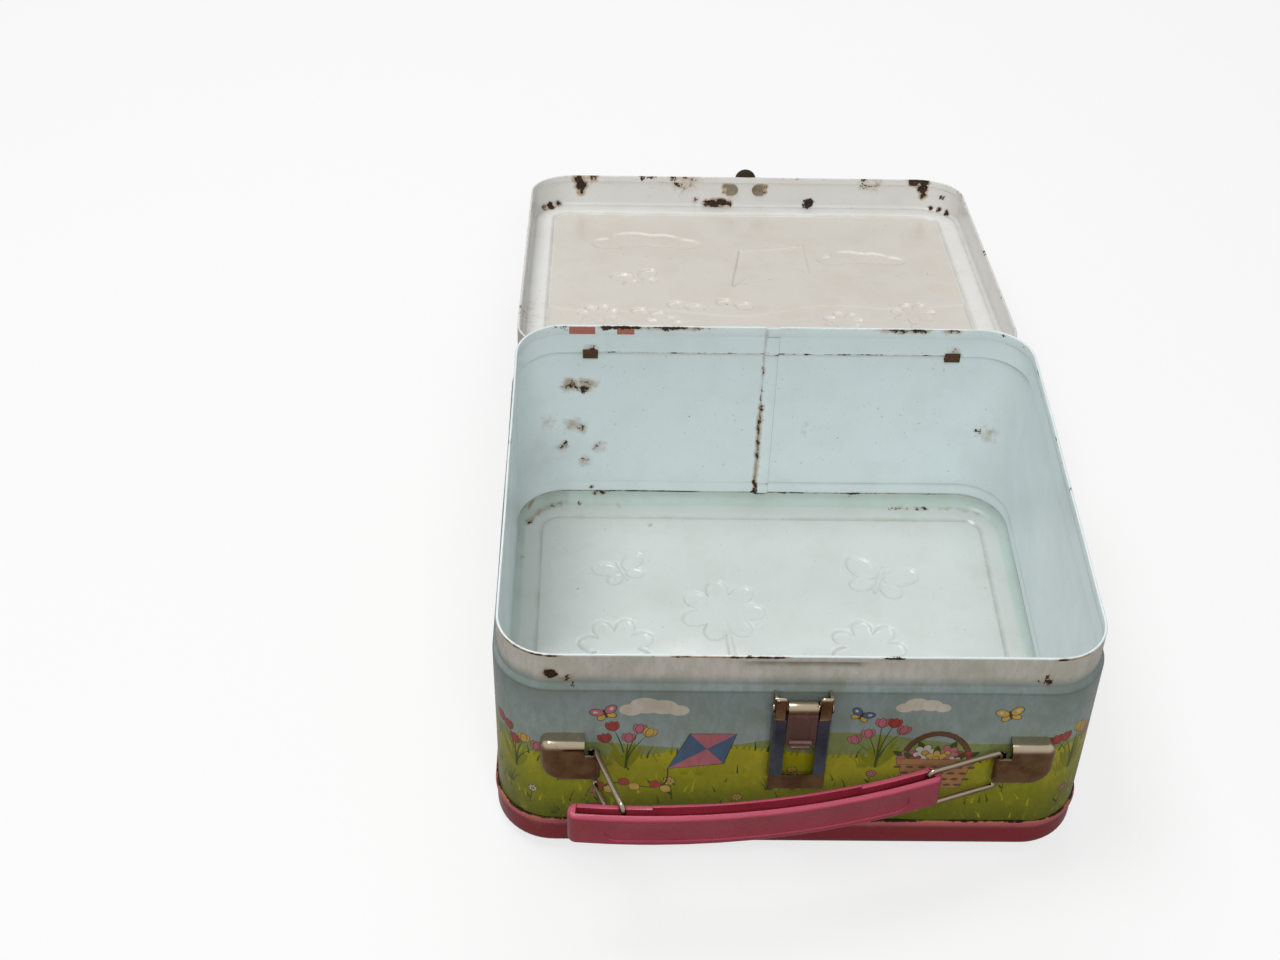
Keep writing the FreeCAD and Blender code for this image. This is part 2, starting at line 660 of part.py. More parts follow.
def ear_strap():
    """The narrow end of the cap's face, curled round the bail."""
    low = LEG_LOW + BAIL_BEND + STRAP_INSET
    high = LEG_HIGH - BAIL_BEND - BAIL_FIT
    face = FRONT - EAR_PROUD
    inner = -PIVOT_X - EAR_NOTCH
    bore = ear_curl() - EAR_SHEET
    flat = box(inner - EAR_SHEET, -PIVOT_X, face, face + EAR_SHEET, low, high)
    centre = Vector(-PIVOT_X, PIVOT_Y, low)
    curl = Part.makeCylinder(ear_curl(), high - low, centre, Z_AXIS)
    curl = curl.cut(Part.makeCylinder(bore, high - low, centre, Z_AXIS))
    curl = curl.cut(box(-FAR, -PIVOT_X, -FAR, FAR, low, high))
    tail = box(-PIVOT_X - BAIL_WIRE, -PIVOT_X, PIVOT_Y + bore, PIVOT_Y + ear_curl(), low, high)
    return [flat, curl, tail]


def ear_prong_necks():
    """The parts of both ears' prongs that lie in the wall."""
    inside = FRONT + SHEET + SEAT_GAP
    near = -PIVOT_X - EAR_NOTCH - PRONG_WIDTH / 2
    necks = []
    for low in (EAR_FOOT, EAR_TOP - EAR_SHEET):
        for x0, x1 in ((near - PRONG_WIDTH, near), (-near, -near + PRONG_WIDTH)):
            necks.append((x0, x1, FRONT, inside + EAR_SHEET, low, low + EAR_SHEET))
    return necks


def make_ear_left():
    pieces = [ear_cap()] + ear_strap()
    for x0, x1, y0, y1, z0, z1 in ear_prong_necks():
        if x0 > 0:
            continue
        fold = (z0, z0 + PRONG_FOLD) if z0 < EAR_FOOT + EAR_HEIGHT / 2 else (z1 - PRONG_FOLD, z1)
        pieces.append(box(x0, x1, y0, y1, z0, z1))
        pieces.append(box(x0, x1, y1 - EAR_SHEET, y1, fold[0], fold[1]))
    return join(pieces)


def bail_path():
    """A bail's centre line in the YZ plane: a rounded loop, open where the wire's ends meet in the ear."""
    middle = (LEG_LOW + LEG_HIGH) / 2
    corners = [Vector(0, 0, LEG_HIGH), Vector(0, -BAIL_REACH, LEG_HIGH),
               Vector(0, -BAIL_REACH, LEG_LOW), Vector(0, 0, LEG_LOW)]
    start = Vector(0, 0, middle + BAIL_CUT / 2)
    finish = Vector(0, 0, middle - BAIL_CUT / 2)
    edges = []
    place = start
    for index, corner in enumerate(corners):
        before = corners[index - 1] if index else start
        after = corners[index + 1] if index + 1 < len(corners) else finish
        into = (before - corner).normalize()
        onward = (after - corner).normalize()
        first = corner + into * BAIL_BEND
        last = corner + onward * BAIL_BEND
        mid = corner + (into + onward) * (BAIL_BEND * (1 - math.sqrt(0.5)))
        edges.append(Part.LineSegment(place, first).toShape())
        edges.append(Part.Arc(first, mid, last).toShape())
        place = last
    edges.append(Part.LineSegment(place, finish).toShape())
    return Part.Wire(edges), start


def make_bail(x, turn):
    """A wire bail at the ear pivot at x, turned about Z from pointing straight out."""
    path, start = bail_path()
    ring = Part.Wire(Part.makeCircle(BAIL_WIRE / 2, start, Z_AXIS))
    bail = path.makePipeShell([ring], True, False)
    bail.rotate(Vector(0, 0, 0), Z_AXIS, turn)
    bail.translate(Vector(x, PIVOT_Y, 0))
    return bail


def bar_place(x, turn):
    """Where a bail's bar stands in the grip, seen from above."""
    angle = math.radians(turn)
    return Vector(x + BAIL_REACH * math.sin(angle), PIVOT_Y - BAIL_REACH * math.cos(angle), 0)


def grip_sector(inner, outer, start, end, z0, z1):
    """A bowed bar between two radii and two places along the grip."""
    edges = []
    corners = {}
    for radius in (inner, outer):
        for place in (start, (start + end) / 2, end):
            angle = math.asin(place / GRIP_RADIUS)
            corners[radius, place] = Vector(radius * math.sin(angle),
                                            GRIP_CENTRE_Y - radius * math.cos(angle), z0)
    middle = (start + end) / 2
    for radius in (inner, outer):
        ends = corners[radius, start], corners[radius, middle], corners[radius, end]
        edges.append(Part.Arc(*ends).toShape())
    for place in (start, end):
        edges.append(Part.LineSegment(corners[inner, place], corners[outer, place]).toShape())
    face = Part.Face(Part.Wire(Part.sortEdges(edges)[0]))
    return face.extrude(Vector(0, 0, z1 - z0))


def grip_oval(inner, outer):
    """The long oval field on the outer face."""
    half = OVAL_LENGTH / 2 - OVAL_HEIGHT / 2
    middle = GRIP_FOOT + GRIP_HEIGHT / 2
    radius = OVAL_HEIGHT / 2
    bar = box(-half, half, -FAR, 0, middle - radius, middle + radius)
    ends = [Part.makeCylinder(radius, FAR, Vector(x, -FAR, middle), Y_AXIS) for x in (-half, half)]
    place = GRIP_LENGTH / 2 - GRIP_END
    ring = grip_sector(inner, outer, -place, place, GRIP_FOOT, GRIP_FOOT + GRIP_HEIGHT)
    return join([bar] + ends).common(ring)


def grip_body():
    """The grip about its own middle: a bowed trough, open upwards, slotted for the bails."""
    inner = GRIP_RADIUS - GRIP_THICK / 2
    outer = GRIP_RADIUS + GRIP_THICK / 2
    half = GRIP_LENGTH / 2
    top = GRIP_FOOT + GRIP_HEIGHT
    body = grip_sector(inner, outer, -half, half, GRIP_FOOT, top)
    body = body.makeFillet(GRIP_ROUND, upright_edges(body))
    body = body.makeFillet(GRIP_EDGE, edges_at(body, GRIP_FOOT) + edges_at(body, top))
    gap_in = GRIP_RADIUS - GRIP_GAP / 2
    gap_out = GRIP_RADIUS + GRIP_GAP / 2
    cuts = [grip_sector(gap_in, gap_out, -half + GRIP_END, half - GRIP_END, GRIP_FOOT + GRIP_FLOOR, top)]
    for side in (-1, 1):
        start, end = sorted((side * (half - GRIP_END), side * (half - GRIP_SLOT_END)))
        cuts.append(grip_sector(gap_in, gap_out, start, end, GRIP_FOOT, top))
        start, end = sorted((side * (half - GRIP_END), side * (half - GRIP_LOW_END)))
        cuts.append(grip_sector(inner - GRIP_THICK, gap_out, start, end, top - GRIP_LOW_DROP, top))
    cuts.append(grip_oval(outer - OVAL_DEEP, outer + GRIP_THICK))
    for cut in cuts:
        body = body.cut(cut)
    return body


def make_grip():
    """The grip at rest, the left bar in the middle of its gap and the right bar nearly so."""
    left = bar_place(-PIVOT_X, BAIL_LEFT_ANGLE)
    right = bar_place(PIVOT_X, -BAIL_RIGHT_ANGLE)
    span = right - left
    place = GRIP_WIRE_PLACE - GRIP_LENGTH / 2
    left_angle = math.asin(place / GRIP_RADIUS)
    right_angle = left_angle + 2 * math.asin(span.Length / (2 * GRIP_RADIUS))
    lean = (left_angle + right_angle) / 2 - math.asin(GRIP_EASE / span.Length)
    turn = math.degrees(math.atan2(span.y, span.x) - lean)
    print("grip turn at rest: %.3f degrees, bars %.2f mm apart" % (turn, span.Length))
    grip = grip_body()
    seat = Vector(place, GRIP_CENTRE_Y - GRIP_RADIUS * math.cos(left_angle), 0)
    grip.translate(-seat)
    grip.rotate(Vector(0, 0, 0), Z_AXIS, turn)
    grip.translate(left)
    return grip


def main():
    pieces = {
        "body_band": make_body_band(),
        "base_pan": make_base_pan(),
        "lid_shell": make_lid_shell(),
        "body_hinge_leaf": make_body_hinge_leaf(),
        "lid_hinge_leaf": make_lid_hinge_leaf(),
        "hinge_pin": make_hinge_pin(),
        "lid_keeper": make_lid_keeper(),
        "latch_frame": make_latch_frame(),
        "latch_hasp": make_latch_hasp(),
        "latch_pin": make_latch_pin(),
        "handle_ear_left": make_ear_left(),
        "handle_ear_right": mirrored(make_ear_left()),
        "handle_bail_left": make_bail(-PIVOT_X, BAIL_LEFT_ANGLE),
        "handle_bail_right": make_bail(PIVOT_X, -BAIL_RIGHT_ANGLE),
        "handle_grip": make_grip(),
    }
    os.makedirs("parts", exist_ok=True)
    for name, shape in pieces.items():
        shape.exportStep("parts/%s.step" % name)
        bounds = shape.BoundBox
        print("%-18s solids %d valid %s volume %9.1f  x %.2f..%.2f y %.2f..%.2f z %.2f..%.2f" % (
            name, len(shape.Solids), shape.isValid(), shape.Volume, bounds.XMin, bounds.XMax,
            bounds.YMin, bounds.YMax, bounds.ZMin, bounds.ZMax))


main()
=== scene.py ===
# %% [markdown]
# # A printed tin lunch box
# The real box is three thin steel pressings: a band that is the four walls, a pan crimped on as the
# floor, and a lid on a long hinge. A latch, two ears and a bowed plastic grip on wire bails are clenched
# to the front wall. The frame brings every piece at its real size and place. This lesson gives the
# pressings their rolled edges, print, enamel and rust, rounds the small hardware, and lights it all.

# %% Load the frame
import json
import math
import random

import bmesh
import bpy
import numpy as np
from mathutils import Matrix, Vector
from mathutils.geometry import delaunay_2d_cdt


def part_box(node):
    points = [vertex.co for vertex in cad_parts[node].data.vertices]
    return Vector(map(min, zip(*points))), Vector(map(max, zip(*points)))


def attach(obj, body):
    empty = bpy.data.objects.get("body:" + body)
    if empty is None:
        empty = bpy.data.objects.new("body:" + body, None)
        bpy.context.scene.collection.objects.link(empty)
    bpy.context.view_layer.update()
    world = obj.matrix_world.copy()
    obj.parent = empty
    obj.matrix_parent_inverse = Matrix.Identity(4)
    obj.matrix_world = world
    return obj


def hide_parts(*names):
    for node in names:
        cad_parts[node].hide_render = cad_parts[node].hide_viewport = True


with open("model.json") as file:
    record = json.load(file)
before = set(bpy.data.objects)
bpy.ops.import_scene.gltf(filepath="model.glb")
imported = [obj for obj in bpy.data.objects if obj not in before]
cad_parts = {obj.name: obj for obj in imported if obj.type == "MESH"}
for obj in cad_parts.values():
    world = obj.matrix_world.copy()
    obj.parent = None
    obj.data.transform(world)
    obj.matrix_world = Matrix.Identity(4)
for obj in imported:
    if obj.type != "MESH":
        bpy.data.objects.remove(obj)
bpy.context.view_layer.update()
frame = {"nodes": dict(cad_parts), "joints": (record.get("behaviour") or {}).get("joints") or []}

# %% [markdown]
# ## Sizes
# Everything here is written in millimetres, and a mesh turns into metres when it is made. Outer sizes and
# pivots are read from the frame, so the looks can't drift away from the construction. The few sizes that
# a bounding box can't show, such as bend radii and insets, are named where they are first needed.

# %% Sizes from the frame
MM = 0.001
band_low, band_high = (np.array(corner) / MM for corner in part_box("body_band"))
pan_low, pan_high = (np.array(corner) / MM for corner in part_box("base_pan"))
pivot = {joint["name"]: np.array(joint["pos_m"]) / MM for joint in frame["joints"]}

WIDTH = band_high[0] - band_low[0]
DEPTH = band_high[1] - band_low[1]
BAND_FOOT = band_low[2]
RIM = band_high[2]
PAN_TOP = pan_high[2]
HINGE_Y, HINGE_Z = pivot["lid_hinge"][1:]

SHEET = 0.45
CORNER = 20.0
print("band %.1f x %.1f mm, rim at %.1f mm" % (WIDTH, DEPTH, RIM))

# %% [markdown]
# ## Camera
# The picture was taken standing in front of the box, looking down into it. The camera was solved from
# the straight edges of the box, so its place and its three directions are given as they came out, and
# the lens follows from the focal length in pixels of a 1280 pixel wide picture.

# %% Camera
PICTURE_WIDTH = 1280
FOCAL_PIXELS = 1883.2
SENSOR = 36.0
CAMERA_PLACE = Vector((-62.96, -504.06, 531.71)) * MM
LOOK = Vector((0.015495, 0.753576, -0.657179))
ACROSS = Vector((0.999827, -0.004894, 0.017962))

camera_data = bpy.data.cameras.new("camera")
camera_data.sensor_width = SENSOR
camera_data.sensor_fit = "HORIZONTAL"
camera_data.lens = FOCAL_PIXELS * SENSOR / PICTURE_WIDTH
camera = bpy.data.objects.new("camera", camera_data)
bpy.context.scene.collection.objects.link(camera)
camera_axes = Matrix((ACROSS, ACROSS.cross(LOOK), -LOOK)).transposed()
camera.matrix_world = Matrix.Translation(CAMERA_PLACE) @ camera_axes.to_4x4()
bpy.context.scene.camera = camera
print("lens %.1f mm" % camera_data.lens)

# %% [markdown]
# ## Gathering a piece
# A pressing has a printed side, an enamelled side and a worn edge, and all of them belong to one mesh.
# A small class gathers points and faces with the finish of each face, the print colour of each face
# corner, how worn each point is, and how much dark tint it takes, which is partly dirt and partly painted
# shade. These become mesh attributes, which the shaders read later. Doubled points are merged at the end, so
# neighbouring strips become one skin.

# %% Piece builder
MERGE = 0.004
SHARP = math.radians(42)


class Pressing:
    """Points and faces of one piece, gathered in millimetres."""

    def __init__(self):
        self.points = []
        self.faces = []
        self.finishes = []
        self.colours = []

    def add(self, points, faces, finish, colours=None):
        """Adds faces, with one colour for each corner of each face if it is printed."""
        start = len(self.points)
        self.points.extend(np.asarray(points, float).tolist())
        for index, face in enumerate(faces):
            self.faces.append([start + corner for corner in face])
            self.finishes.append(finish)
            self.colours.append(colours[index] if colours is not None else None)

    def make(self, name, materials, wear, dirt_and_shade, turn=None):
        """The object, in metres; wear and dirt_and_shade give the wear and the dark tint at each point."""
        points = np.array(self.points)
        worn = wear(points)
        dirty = dirt_and_shade(points)
        if turn is not None:
            points = turn(points)
        mesh = bpy.data.meshes.new(name)
        mesh.from_pydata((points * MM).tolist(), [], self.faces)
        mesh.polygons.foreach_set("material_index", self.finishes)
        mesh.attributes.new("worn", "FLOAT", "POINT").data.foreach_set("value", worn)
        mesh.attributes.new("dirty", "FLOAT", "POINT").data.foreach_set("value", dirty)
        tints = []
        for face, colour in zip(self.faces, self.colours):
            tints.extend(colour if colour is not None else [WHITE] * len(face))
        flat = [channel for tint in tints for channel in (*tint, 1.0)]
        mesh.attributes.new("print", "FLOAT_COLOR", "CORNER").data.foreach_set("color", flat)
        shape = bmesh.new()
        shape.from_mesh(mesh)
        bmesh.ops.remove_doubles(shape, verts=shape.verts, dist=MERGE * MM)
        bmesh.ops.dissolve_degenerate(shape, edges=shape.edges, dist=MERGE * MM / 4)
        shape.to_mesh(mesh)
        shape.free()
        for material in materials:
            mesh.materials.append(material)
        mesh.shade_smooth()
        mesh.set_sharp_from_angle(angle=SHARP)
        made = bpy.data.objects.new(name, mesh)
        bpy.context.scene.collection.objects.link(made)
        print(name, len(mesh.vertices), "points", len(mesh.polygons), "faces")
        return made


def tint(red, green, blue):
    """A colour given as it looks on a screen, 0 to 255, as the linear values that a shader takes."""
    levels = np.array((red, green, blue)) / 255
    return tuple(np.where(levels <= 0.04045, levels / 12.92, ((levels + 0.055) / 1.055) ** 2.4))


WHITE = (1.0, 1.0, 1.0)
print("a screen grey of 128 is %.3f in linear light" % tint(128, 128, 128)[0])

# %% [markdown]
# ## Rings and skins
# All three pressings are rounded rectangles with a profile carried round them. A ring is one rounded
# rectangle, always with the same number of points in the same order, so any two rings can be joined by
# four-sided faces. The points sit closer at the lock seam, which has to show its folded edges.

# %% Rings
FRONT_STEPS = 96
SIDE_STEPS = 72
ARC_STEPS = 14
SEAM_WIDTH = 5.5
SEAM_THICK = 0.9


def back_shares():
    """Shares of half the hinge wall, from its middle, with two stations at the edge of the lock seam."""
    run = WIDTH / 2 - CORNER
    shares = np.arange(FRONT_STEPS // 2) / (FRONT_STEPS // 2)
    shares[1] = (SEAM_WIDTH / 2 - SEAM_THICK / 3) / run
    shares[2] = (SEAM_WIDTH / 2 + SEAM_THICK / 4) / run
    return shares


def straight(first, last, shares):
    return np.array(first) + np.outer(shares, np.array(last) - np.array(first))


def arc(x, y, radius, start):
    angles = np.radians(start + 90 * np.arange(ARC_STEPS) / ARC_STEPS)
    return np.column_stack((x + radius * np.cos(angles), y + radius * np.sin(angles)))


def ring(width, depth, corner):
    """A rounded rectangle, anticlockwise from the middle of the hinge side."""
    far_x, far_y = width / 2, depth / 2
    x, y = far_x - corner, far_y - corner
    sides = np.arange(SIDE_STEPS) / SIDE_STEPS
    front = np.arange(FRONT_STEPS) / FRONT_STEPS
    last_half = np.append([0], 1 - back_shares()[:0:-1])
    return np.vstack((
        straight((0, far_y), (-x, far_y), back_shares()), arc(-x, y, corner, 90),
        straight((-far_x, y), (-far_x, -y), sides), arc(-x, -y, corner, 180),
        straight((-x, -far_y), (x, -far_y), front), arc(x, -y, corner, 270),
        straight((far_x, -y), (far_x, y), sides), arc(x, y, corner, 0),
        straight((x, far_y), (0, far_y), last_half)))


def skin(pressing, rings, finish, colour=None):
    """Joins rings into strips; seen from outside, the rings run upwards."""
    count = len(rings[0])
    faces = []
    for low in range(len(rings) - 1):
        for index in range(count):
            following = (index + 1) % count
            faces.append((low * count + index, low * count + following,
                          (low + 1) * count + following, (low + 1) * count + index))
    colours = [[colour] * 4] * len(faces) if colour else None
    pressing.add(np.vstack(rings), faces, finish, colours)


def fold(centre_inset, centre_z, radius, start, end, steps):
    """A rounded bend in a profile, as pairs of inset and height."""
    angles = np.radians(np.linspace(start, end, steps + 1))
    return [(centre_inset - radius * math.cos(a), centre_z + radius * math.sin(a)) for a in angles]


print("a ring has", len(ring(WIDTH, DEPTH, CORNER)), "points")

# %% [markdown]
# ## Shader helpers
# Materials are built from nodes. A small class holds one node tree and adds nodes to it, with values or
# other nodes plugged into their sockets, so that a material reads as a list of its layers. Sums, mixes of
# two colours, smooth rises and noise are common enough to have short names of their own.

# %% Node helpers


class Wiring:
    """Adds nodes to the tree of one material or group."""

    def __init__(self, tree):
        self.tree = tree

    def plug(self, value, socket):
        """Links a socket to another one, or sets its plain value."""
        if isinstance(value, bpy.types.NodeSocket):
            self.tree.links.new(value, socket)
        else:
            socket.default_value = value

    def node(self, kind, values=None, **settings):
        made = self.tree.nodes.new("ShaderNode" + kind)
        for name, setting in settings.items():
            setattr(made, name, setting)
        for key, value in (values or {}).items():
            self.plug(value, made.inputs[key])
        return made

    def calc(self, operation, first, second):
        return self.node("Math", {0: first, 1: second}, operation=operation).outputs[0]

    def plus(self, first, second):
        return self.calc("ADD", first, second)

    def minus(self, first, second):
        return self.calc("SUBTRACT", first, second)

    def times(self, first, second):
        return self.calc("MULTIPLY", first, second)

    def larger(self, first, second):
        return self.calc("MAXIMUM", first, second)

    def blend(self, share, first, second, kind="MIX"):
        """A mix of two colours."""
        values = {0: share, 6: first, 7: second}
        return self.node("Mix", values, data_type="RGBA", blend_type=kind).outputs[2]

    def ramp(self, value, low, high, first=0.0, second=1.0):
        """A smooth rise from one value to another."""
        limits = {"Value": value, "From Min": low, "From Max": high, "To Min": first, "To Max": second}
        return self.node("MapRange", limits, interpolation_type="SMOOTHSTEP").outputs[0]

    def noise(self, place, scale, detail, rough):
        values = {"Vector": place, "Scale": scale, "Detail": detail, "Roughness": rough}
        return self.node("TexNoise", values).outputs[0]

    def use(self, group, values):
        """Places a node group, and gives its outputs."""
        return self.node("Group", values, node_tree=group.tree).outputs


def rgba(colour):
    return (*colour, 1.0)


def new_group(name, inputs, outputs):
    """An empty node group with named sockets: its wiring, its inputs and its outputs."""
    group = bpy.data.node_groups.new(name, "ShaderNodeTree")
    for label, kind, value in inputs:
        socket = group.interface.new_socket(name=label, in_out="INPUT", socket_type="NodeSocket" + kind)
        socket.default_value = value
    for label, kind in outputs:
        group.interface.new_socket(name=label, in_out="OUTPUT", socket_type="NodeSocket" + kind)
    given = group.nodes.new("NodeGroupInput").outputs
    return Wiring(group), given, group.nodes.new("NodeGroupOutput").inputs


print("a wiring can", [name for name in vars(Wiring) if not name.startswith("_")])

# %% [markdown]
# ## Rust and chips
# Paint on tin fails the same way everywhere: it chips at edges and in a few damp places, dark rust grows
# in the bare spots and stains the paint round them. One group does this for every painted surface. The
# wear of the mesh says where it may happen, and noise of two sizes gives the ragged outlines.

# %% Rust group
rust_group, given, made = new_group(
    "chips_and_rust",
    [("Worn", "Float", 0.0), ("Grain", "Float", 260.0)],
    [("Bare", "Float"), ("Stain", "Float"), ("Rust", "Color"), ("Height", "Float")])
place = rust_group.node("TexCoord").outputs["Object"]
broad = rust_group.noise(place, rust_group.times(given["Grain"], 0.22), detail=2.0, rough=0.5)
coarse = rust_group.noise(place, given["Grain"], detail=5.0, rough=0.62)
fine = rust_group.noise(place, rust_group.times(given["Grain"], 5.0), detail=3.0, rough=0.6)
softer = rust_group.plus(rust_group.times(fine, 0.5), broad)
ragged = rust_group.plus(rust_group.times(coarse, 1.4), softer)
field = rust_group.plus(given["Worn"], rust_group.minus(ragged, 1.45))
bare = rust_group.ramp(field, 0.47, 0.53)
rust_group.plug(bare, made["Bare"])
uneven = rust_group.times(rust_group.minus(coarse, 0.5), 0.6)
rust_group.plug(rust_group.ramp(rust_group.plus(given["Worn"], uneven), 0.2, 0.52), made["Stain"])
flecked = rust_group.ramp(fine, 0.48, 0.78)
rust_colour = rust_group.blend(flecked, rgba(tint(40, 32, 27)), rgba(tint(108, 68, 42)))
rust_group.plug(rust_colour, made["Rust"])
rust_group.plug(rust_group.times(bare, rust_group.minus(fine, 1.3)), made["Height"])
print("group", rust_group.tree.name)

# %% [markdown]
# ## Ripples and handling marks
# Thin sheet is never flat, and old enamel has a faint orange peel, small scuffs and a little dirt. The
# ripple group gives a height for bump, and a patchy value that shifts colour and gloss a little.

# %% Ripple group
ripple_group, given, made = new_group(
    "sheet_ripple",
    [("Peel", "Float", 0.25)],
    [("Height", "Float"), ("Patchy", "Float"), ("Speck", "Float"), ("Brush", "Float")])
place = ripple_group.node("TexCoord").outputs["Object"]
waves = ripple_group.noise(place, 26.0, detail=2.0, rough=0.4)
peel = ripple_group.noise(place, 1400.0, detail=2.0, rough=0.5)
peeled = ripple_group.times(peel, ripple_group.times(given["Peel"], 0.02))
ripple_group.plug(ripple_group.plus(waves, peeled), made["Height"])
ripple_group.plug(ripple_group.noise(place, 55.0, detail=6.0, rough=0.6), made["Patchy"])
specks = ripple_group.noise(place, 900.0, detail=2.0, rough=0.5)
ripple_group.plug(ripple_group.ramp(specks, 0.70, 0.76), made["Speck"])
strokes = ripple_group.node("Mapping", {"Vector": place, "Scale": (420.0, 420.0, 150.0)}).outputs[0]
ripple_group.plug(ripple_group.noise(strokes, 1.0, detail=5.0, rough=0.6), made["Brush"])
print("group", ripple_group.tree.name)

# %% [markdown]
# ## Painted finishes
# Nine finishes share those groups: pale aqua enamel on the walls inside, a darker sea green copy of it in
# the bend under them as painted shade, a whiter one on the floor, warm white on the lid's panel and a cooler
# one round it, cream on the lid's outer wall, the pink enamel of the pan, brick red primer where the hem is
# scraped, and the lithographed outside. Print and pink take their colours from the print attribute. Each is
# glossy lacquer over colour. A dark tint lies in creases and bends, partly dirt and mostly painted shade,
# and worn places are stained, chipped and dull.

# %% Painted tin
PAINT_GRAIN = 260.0
PAINT_PEEL = 0.25
# The dark tint: dirt in the band's seam, painted shade in bends, creases, under the step and round the latch.
DIRT_AND_SHADE_TINT = tint(116, 117, 97)
SPECK = tint(120, 104, 88)
RUST_STAIN = tint(164, 126, 70)


def new_material(name):
    """A material, the wiring of its nodes and the inputs of its shader."""
    material = bpy.data.materials.new(name)
    material.use_nodes = True
    return material, Wiring(material.node_tree), material.node_tree.nodes["Principled BSDF"].inputs


def painted_tin(name, colour, rough, shade, gloss=0.5, brushed=0.15):
    """Lacquered paint on tin, with rust where the mesh is worn; colour None takes the print."""
    material, wires, shader = new_material(name)
    worn = wires.node("Attribute", attribute_name="worn").outputs["Fac"]
    rust = wires.use(rust_group, {"Worn": worn, "Grain": PAINT_GRAIN})
    sheet = wires.use(ripple_group, {"Peel": PAINT_PEEL})
    base = rgba(colour) if colour else wires.node("Attribute", attribute_name="print").outputs["Color"]
    darker = wires.blend(1.0, base, rgba(shade), "MULTIPLY")
    patchy = wires.blend(wires.ramp(sheet["Patchy"], 0.42, 0.72), base, darker)
    painted = wires.blend(wires.ramp(sheet["Brush"], 0.35, 0.68, 0.0, brushed), patchy, darker)
    specked = wires.blend(wires.times(sheet["Speck"], 0.35), painted, rgba(SPECK))
    # Dark tint from the mesh: partly dirt, partly painted shade in creases and bends.
    dirty = wires.node("Attribute", attribute_name="dirty").outputs["Fac"]
    thick = wires.times(dirty, wires.ramp(sheet["Patchy"], 0.3, 0.66, 0.55, 1.0))
    darkened = wires.blend(thick, specked, rgba(DIRT_AND_SHADE_TINT))
    stained = wires.blend(wires.times(rust["Stain"], 0.7), darkened, rgba(RUST_STAIN))
    wires.plug(wires.blend(rust["Bare"], stained, rust["Rust"]), shader["Base Color"])
    dull = wires.plus(rough, wires.times(sheet["Patchy"], 0.12))
    wires.plug(wires.larger(dull, wires.times(rust["Bare"], 0.8)), shader["Roughness"])
    wavy = wires.node("Bump", {"Strength": 0.35, "Distance": 0.004, "Height": sheet["Height"]})
    pitted = wires.node("Bump", {"Strength": 0.8, "Distance": 0.0002, "Height": rust["Height"],
                                 "Normal": wavy.outputs[0]})
    wires.plug(pitted.outputs[0], shader["Normal"])
    shader["IOR"].default_value = 1.5
    shader["Specular IOR Level"].default_value = gloss
    return material


aqua_enamel = painted_tin("aqua_enamel", tint(230, 240, 242), rough=0.16, shade=(0.95, 0.96, 0.94))
# A darker, greener copy of the wall enamel for the pan's inner wall and bend: painted shade.
bend_shade_enamel = painted_tin("bend_shade_enamel", tint(206, 221, 216), rough=0.16, shade=(0.94, 0.96, 0.92))
floor_enamel = painted_tin("floor_enamel", tint(217, 222, 219), rough=0.12, shade=(0.95, 0.94, 0.92),
                           gloss=0.6)
warm_enamel = painted_tin("warm_enamel", tint(216, 211, 202), rough=0.14, shade=(0.96, 0.93, 0.90))
cool_enamel = painted_tin("cool_enamel", tint(229, 229, 226), rough=0.14, shade=(0.96, 0.95, 0.93))
cream_enamel = painted_tin("cream_enamel", tint(200, 192, 178), rough=0.24, shade=(0.93, 0.91, 0.87),
                           gloss=0.35)
printed_tin = painted_tin("litho_print", None, rough=0.22, shade=(0.78, 0.80, 0.72), gloss=0.22, brushed=0.7)
pink_enamel = painted_tin("rose_enamel", None, rough=0.18, shade=(0.90, 0.84, 0.88), gloss=0.3)
brick_primer = painted_tin("brick_primer", tint(190, 116, 100), rough=0.3, shade=(0.94, 0.90, 0.88),
                           gloss=0.3)
print("painted finishes, from", aqua_enamel.name, "to", brick_primer.name)

# %% [markdown]
# ## Worn plating
# The hardware is thin nickel plate over steel: it reflects, but the plate is dull in patches, scratched
# along one way and brown where it has gone. One group gives these as masks. A last mask tells the faces
# that look upwards, where the finishes paint a highlight that stands for the light from above.

# %% Plating group
plate_group, given, made = new_group(
    "worn_plating",
    [("Wear", "Float", 0.5)],
    [("Gone", "Float"), ("Tarnish", "Float"), ("Scratch", "Float"), ("Rubbed", "Float")])
place = plate_group.node("TexCoord").outputs["Object"]
patches = plate_group.noise(place, 420.0, detail=6.0, rough=0.65)
lines = plate_group.node("Mapping", {"Vector": place, "Scale": (300.0, 2600.0, 2600.0)}).outputs[0]
plate_group.plug(plate_group.noise(lines, 1.0, detail=3.0, rough=0.6), made["Scratch"])
plate_group.plug(plate_group.noise(place, 130.0, detail=5.0, rough=0.6), made["Tarnish"])
thinned = plate_group.plus(patches, plate_group.times(given["Wear"], 0.5))
plate_group.plug(plate_group.ramp(thinned, 0.78, 0.92), made["Gone"])
# Faces that look upwards: the mask for a painted highlight that stands for the light from above.
normal = plate_group.node("TexCoord").outputs["Normal"]
upward = plate_group.node("SeparateXYZ", {0: normal}).outputs[2]
plate_group.plug(plate_group.ramp(upward, 0.1, 0.8), made["Rubbed"])
print("group", plate_group.tree.name)

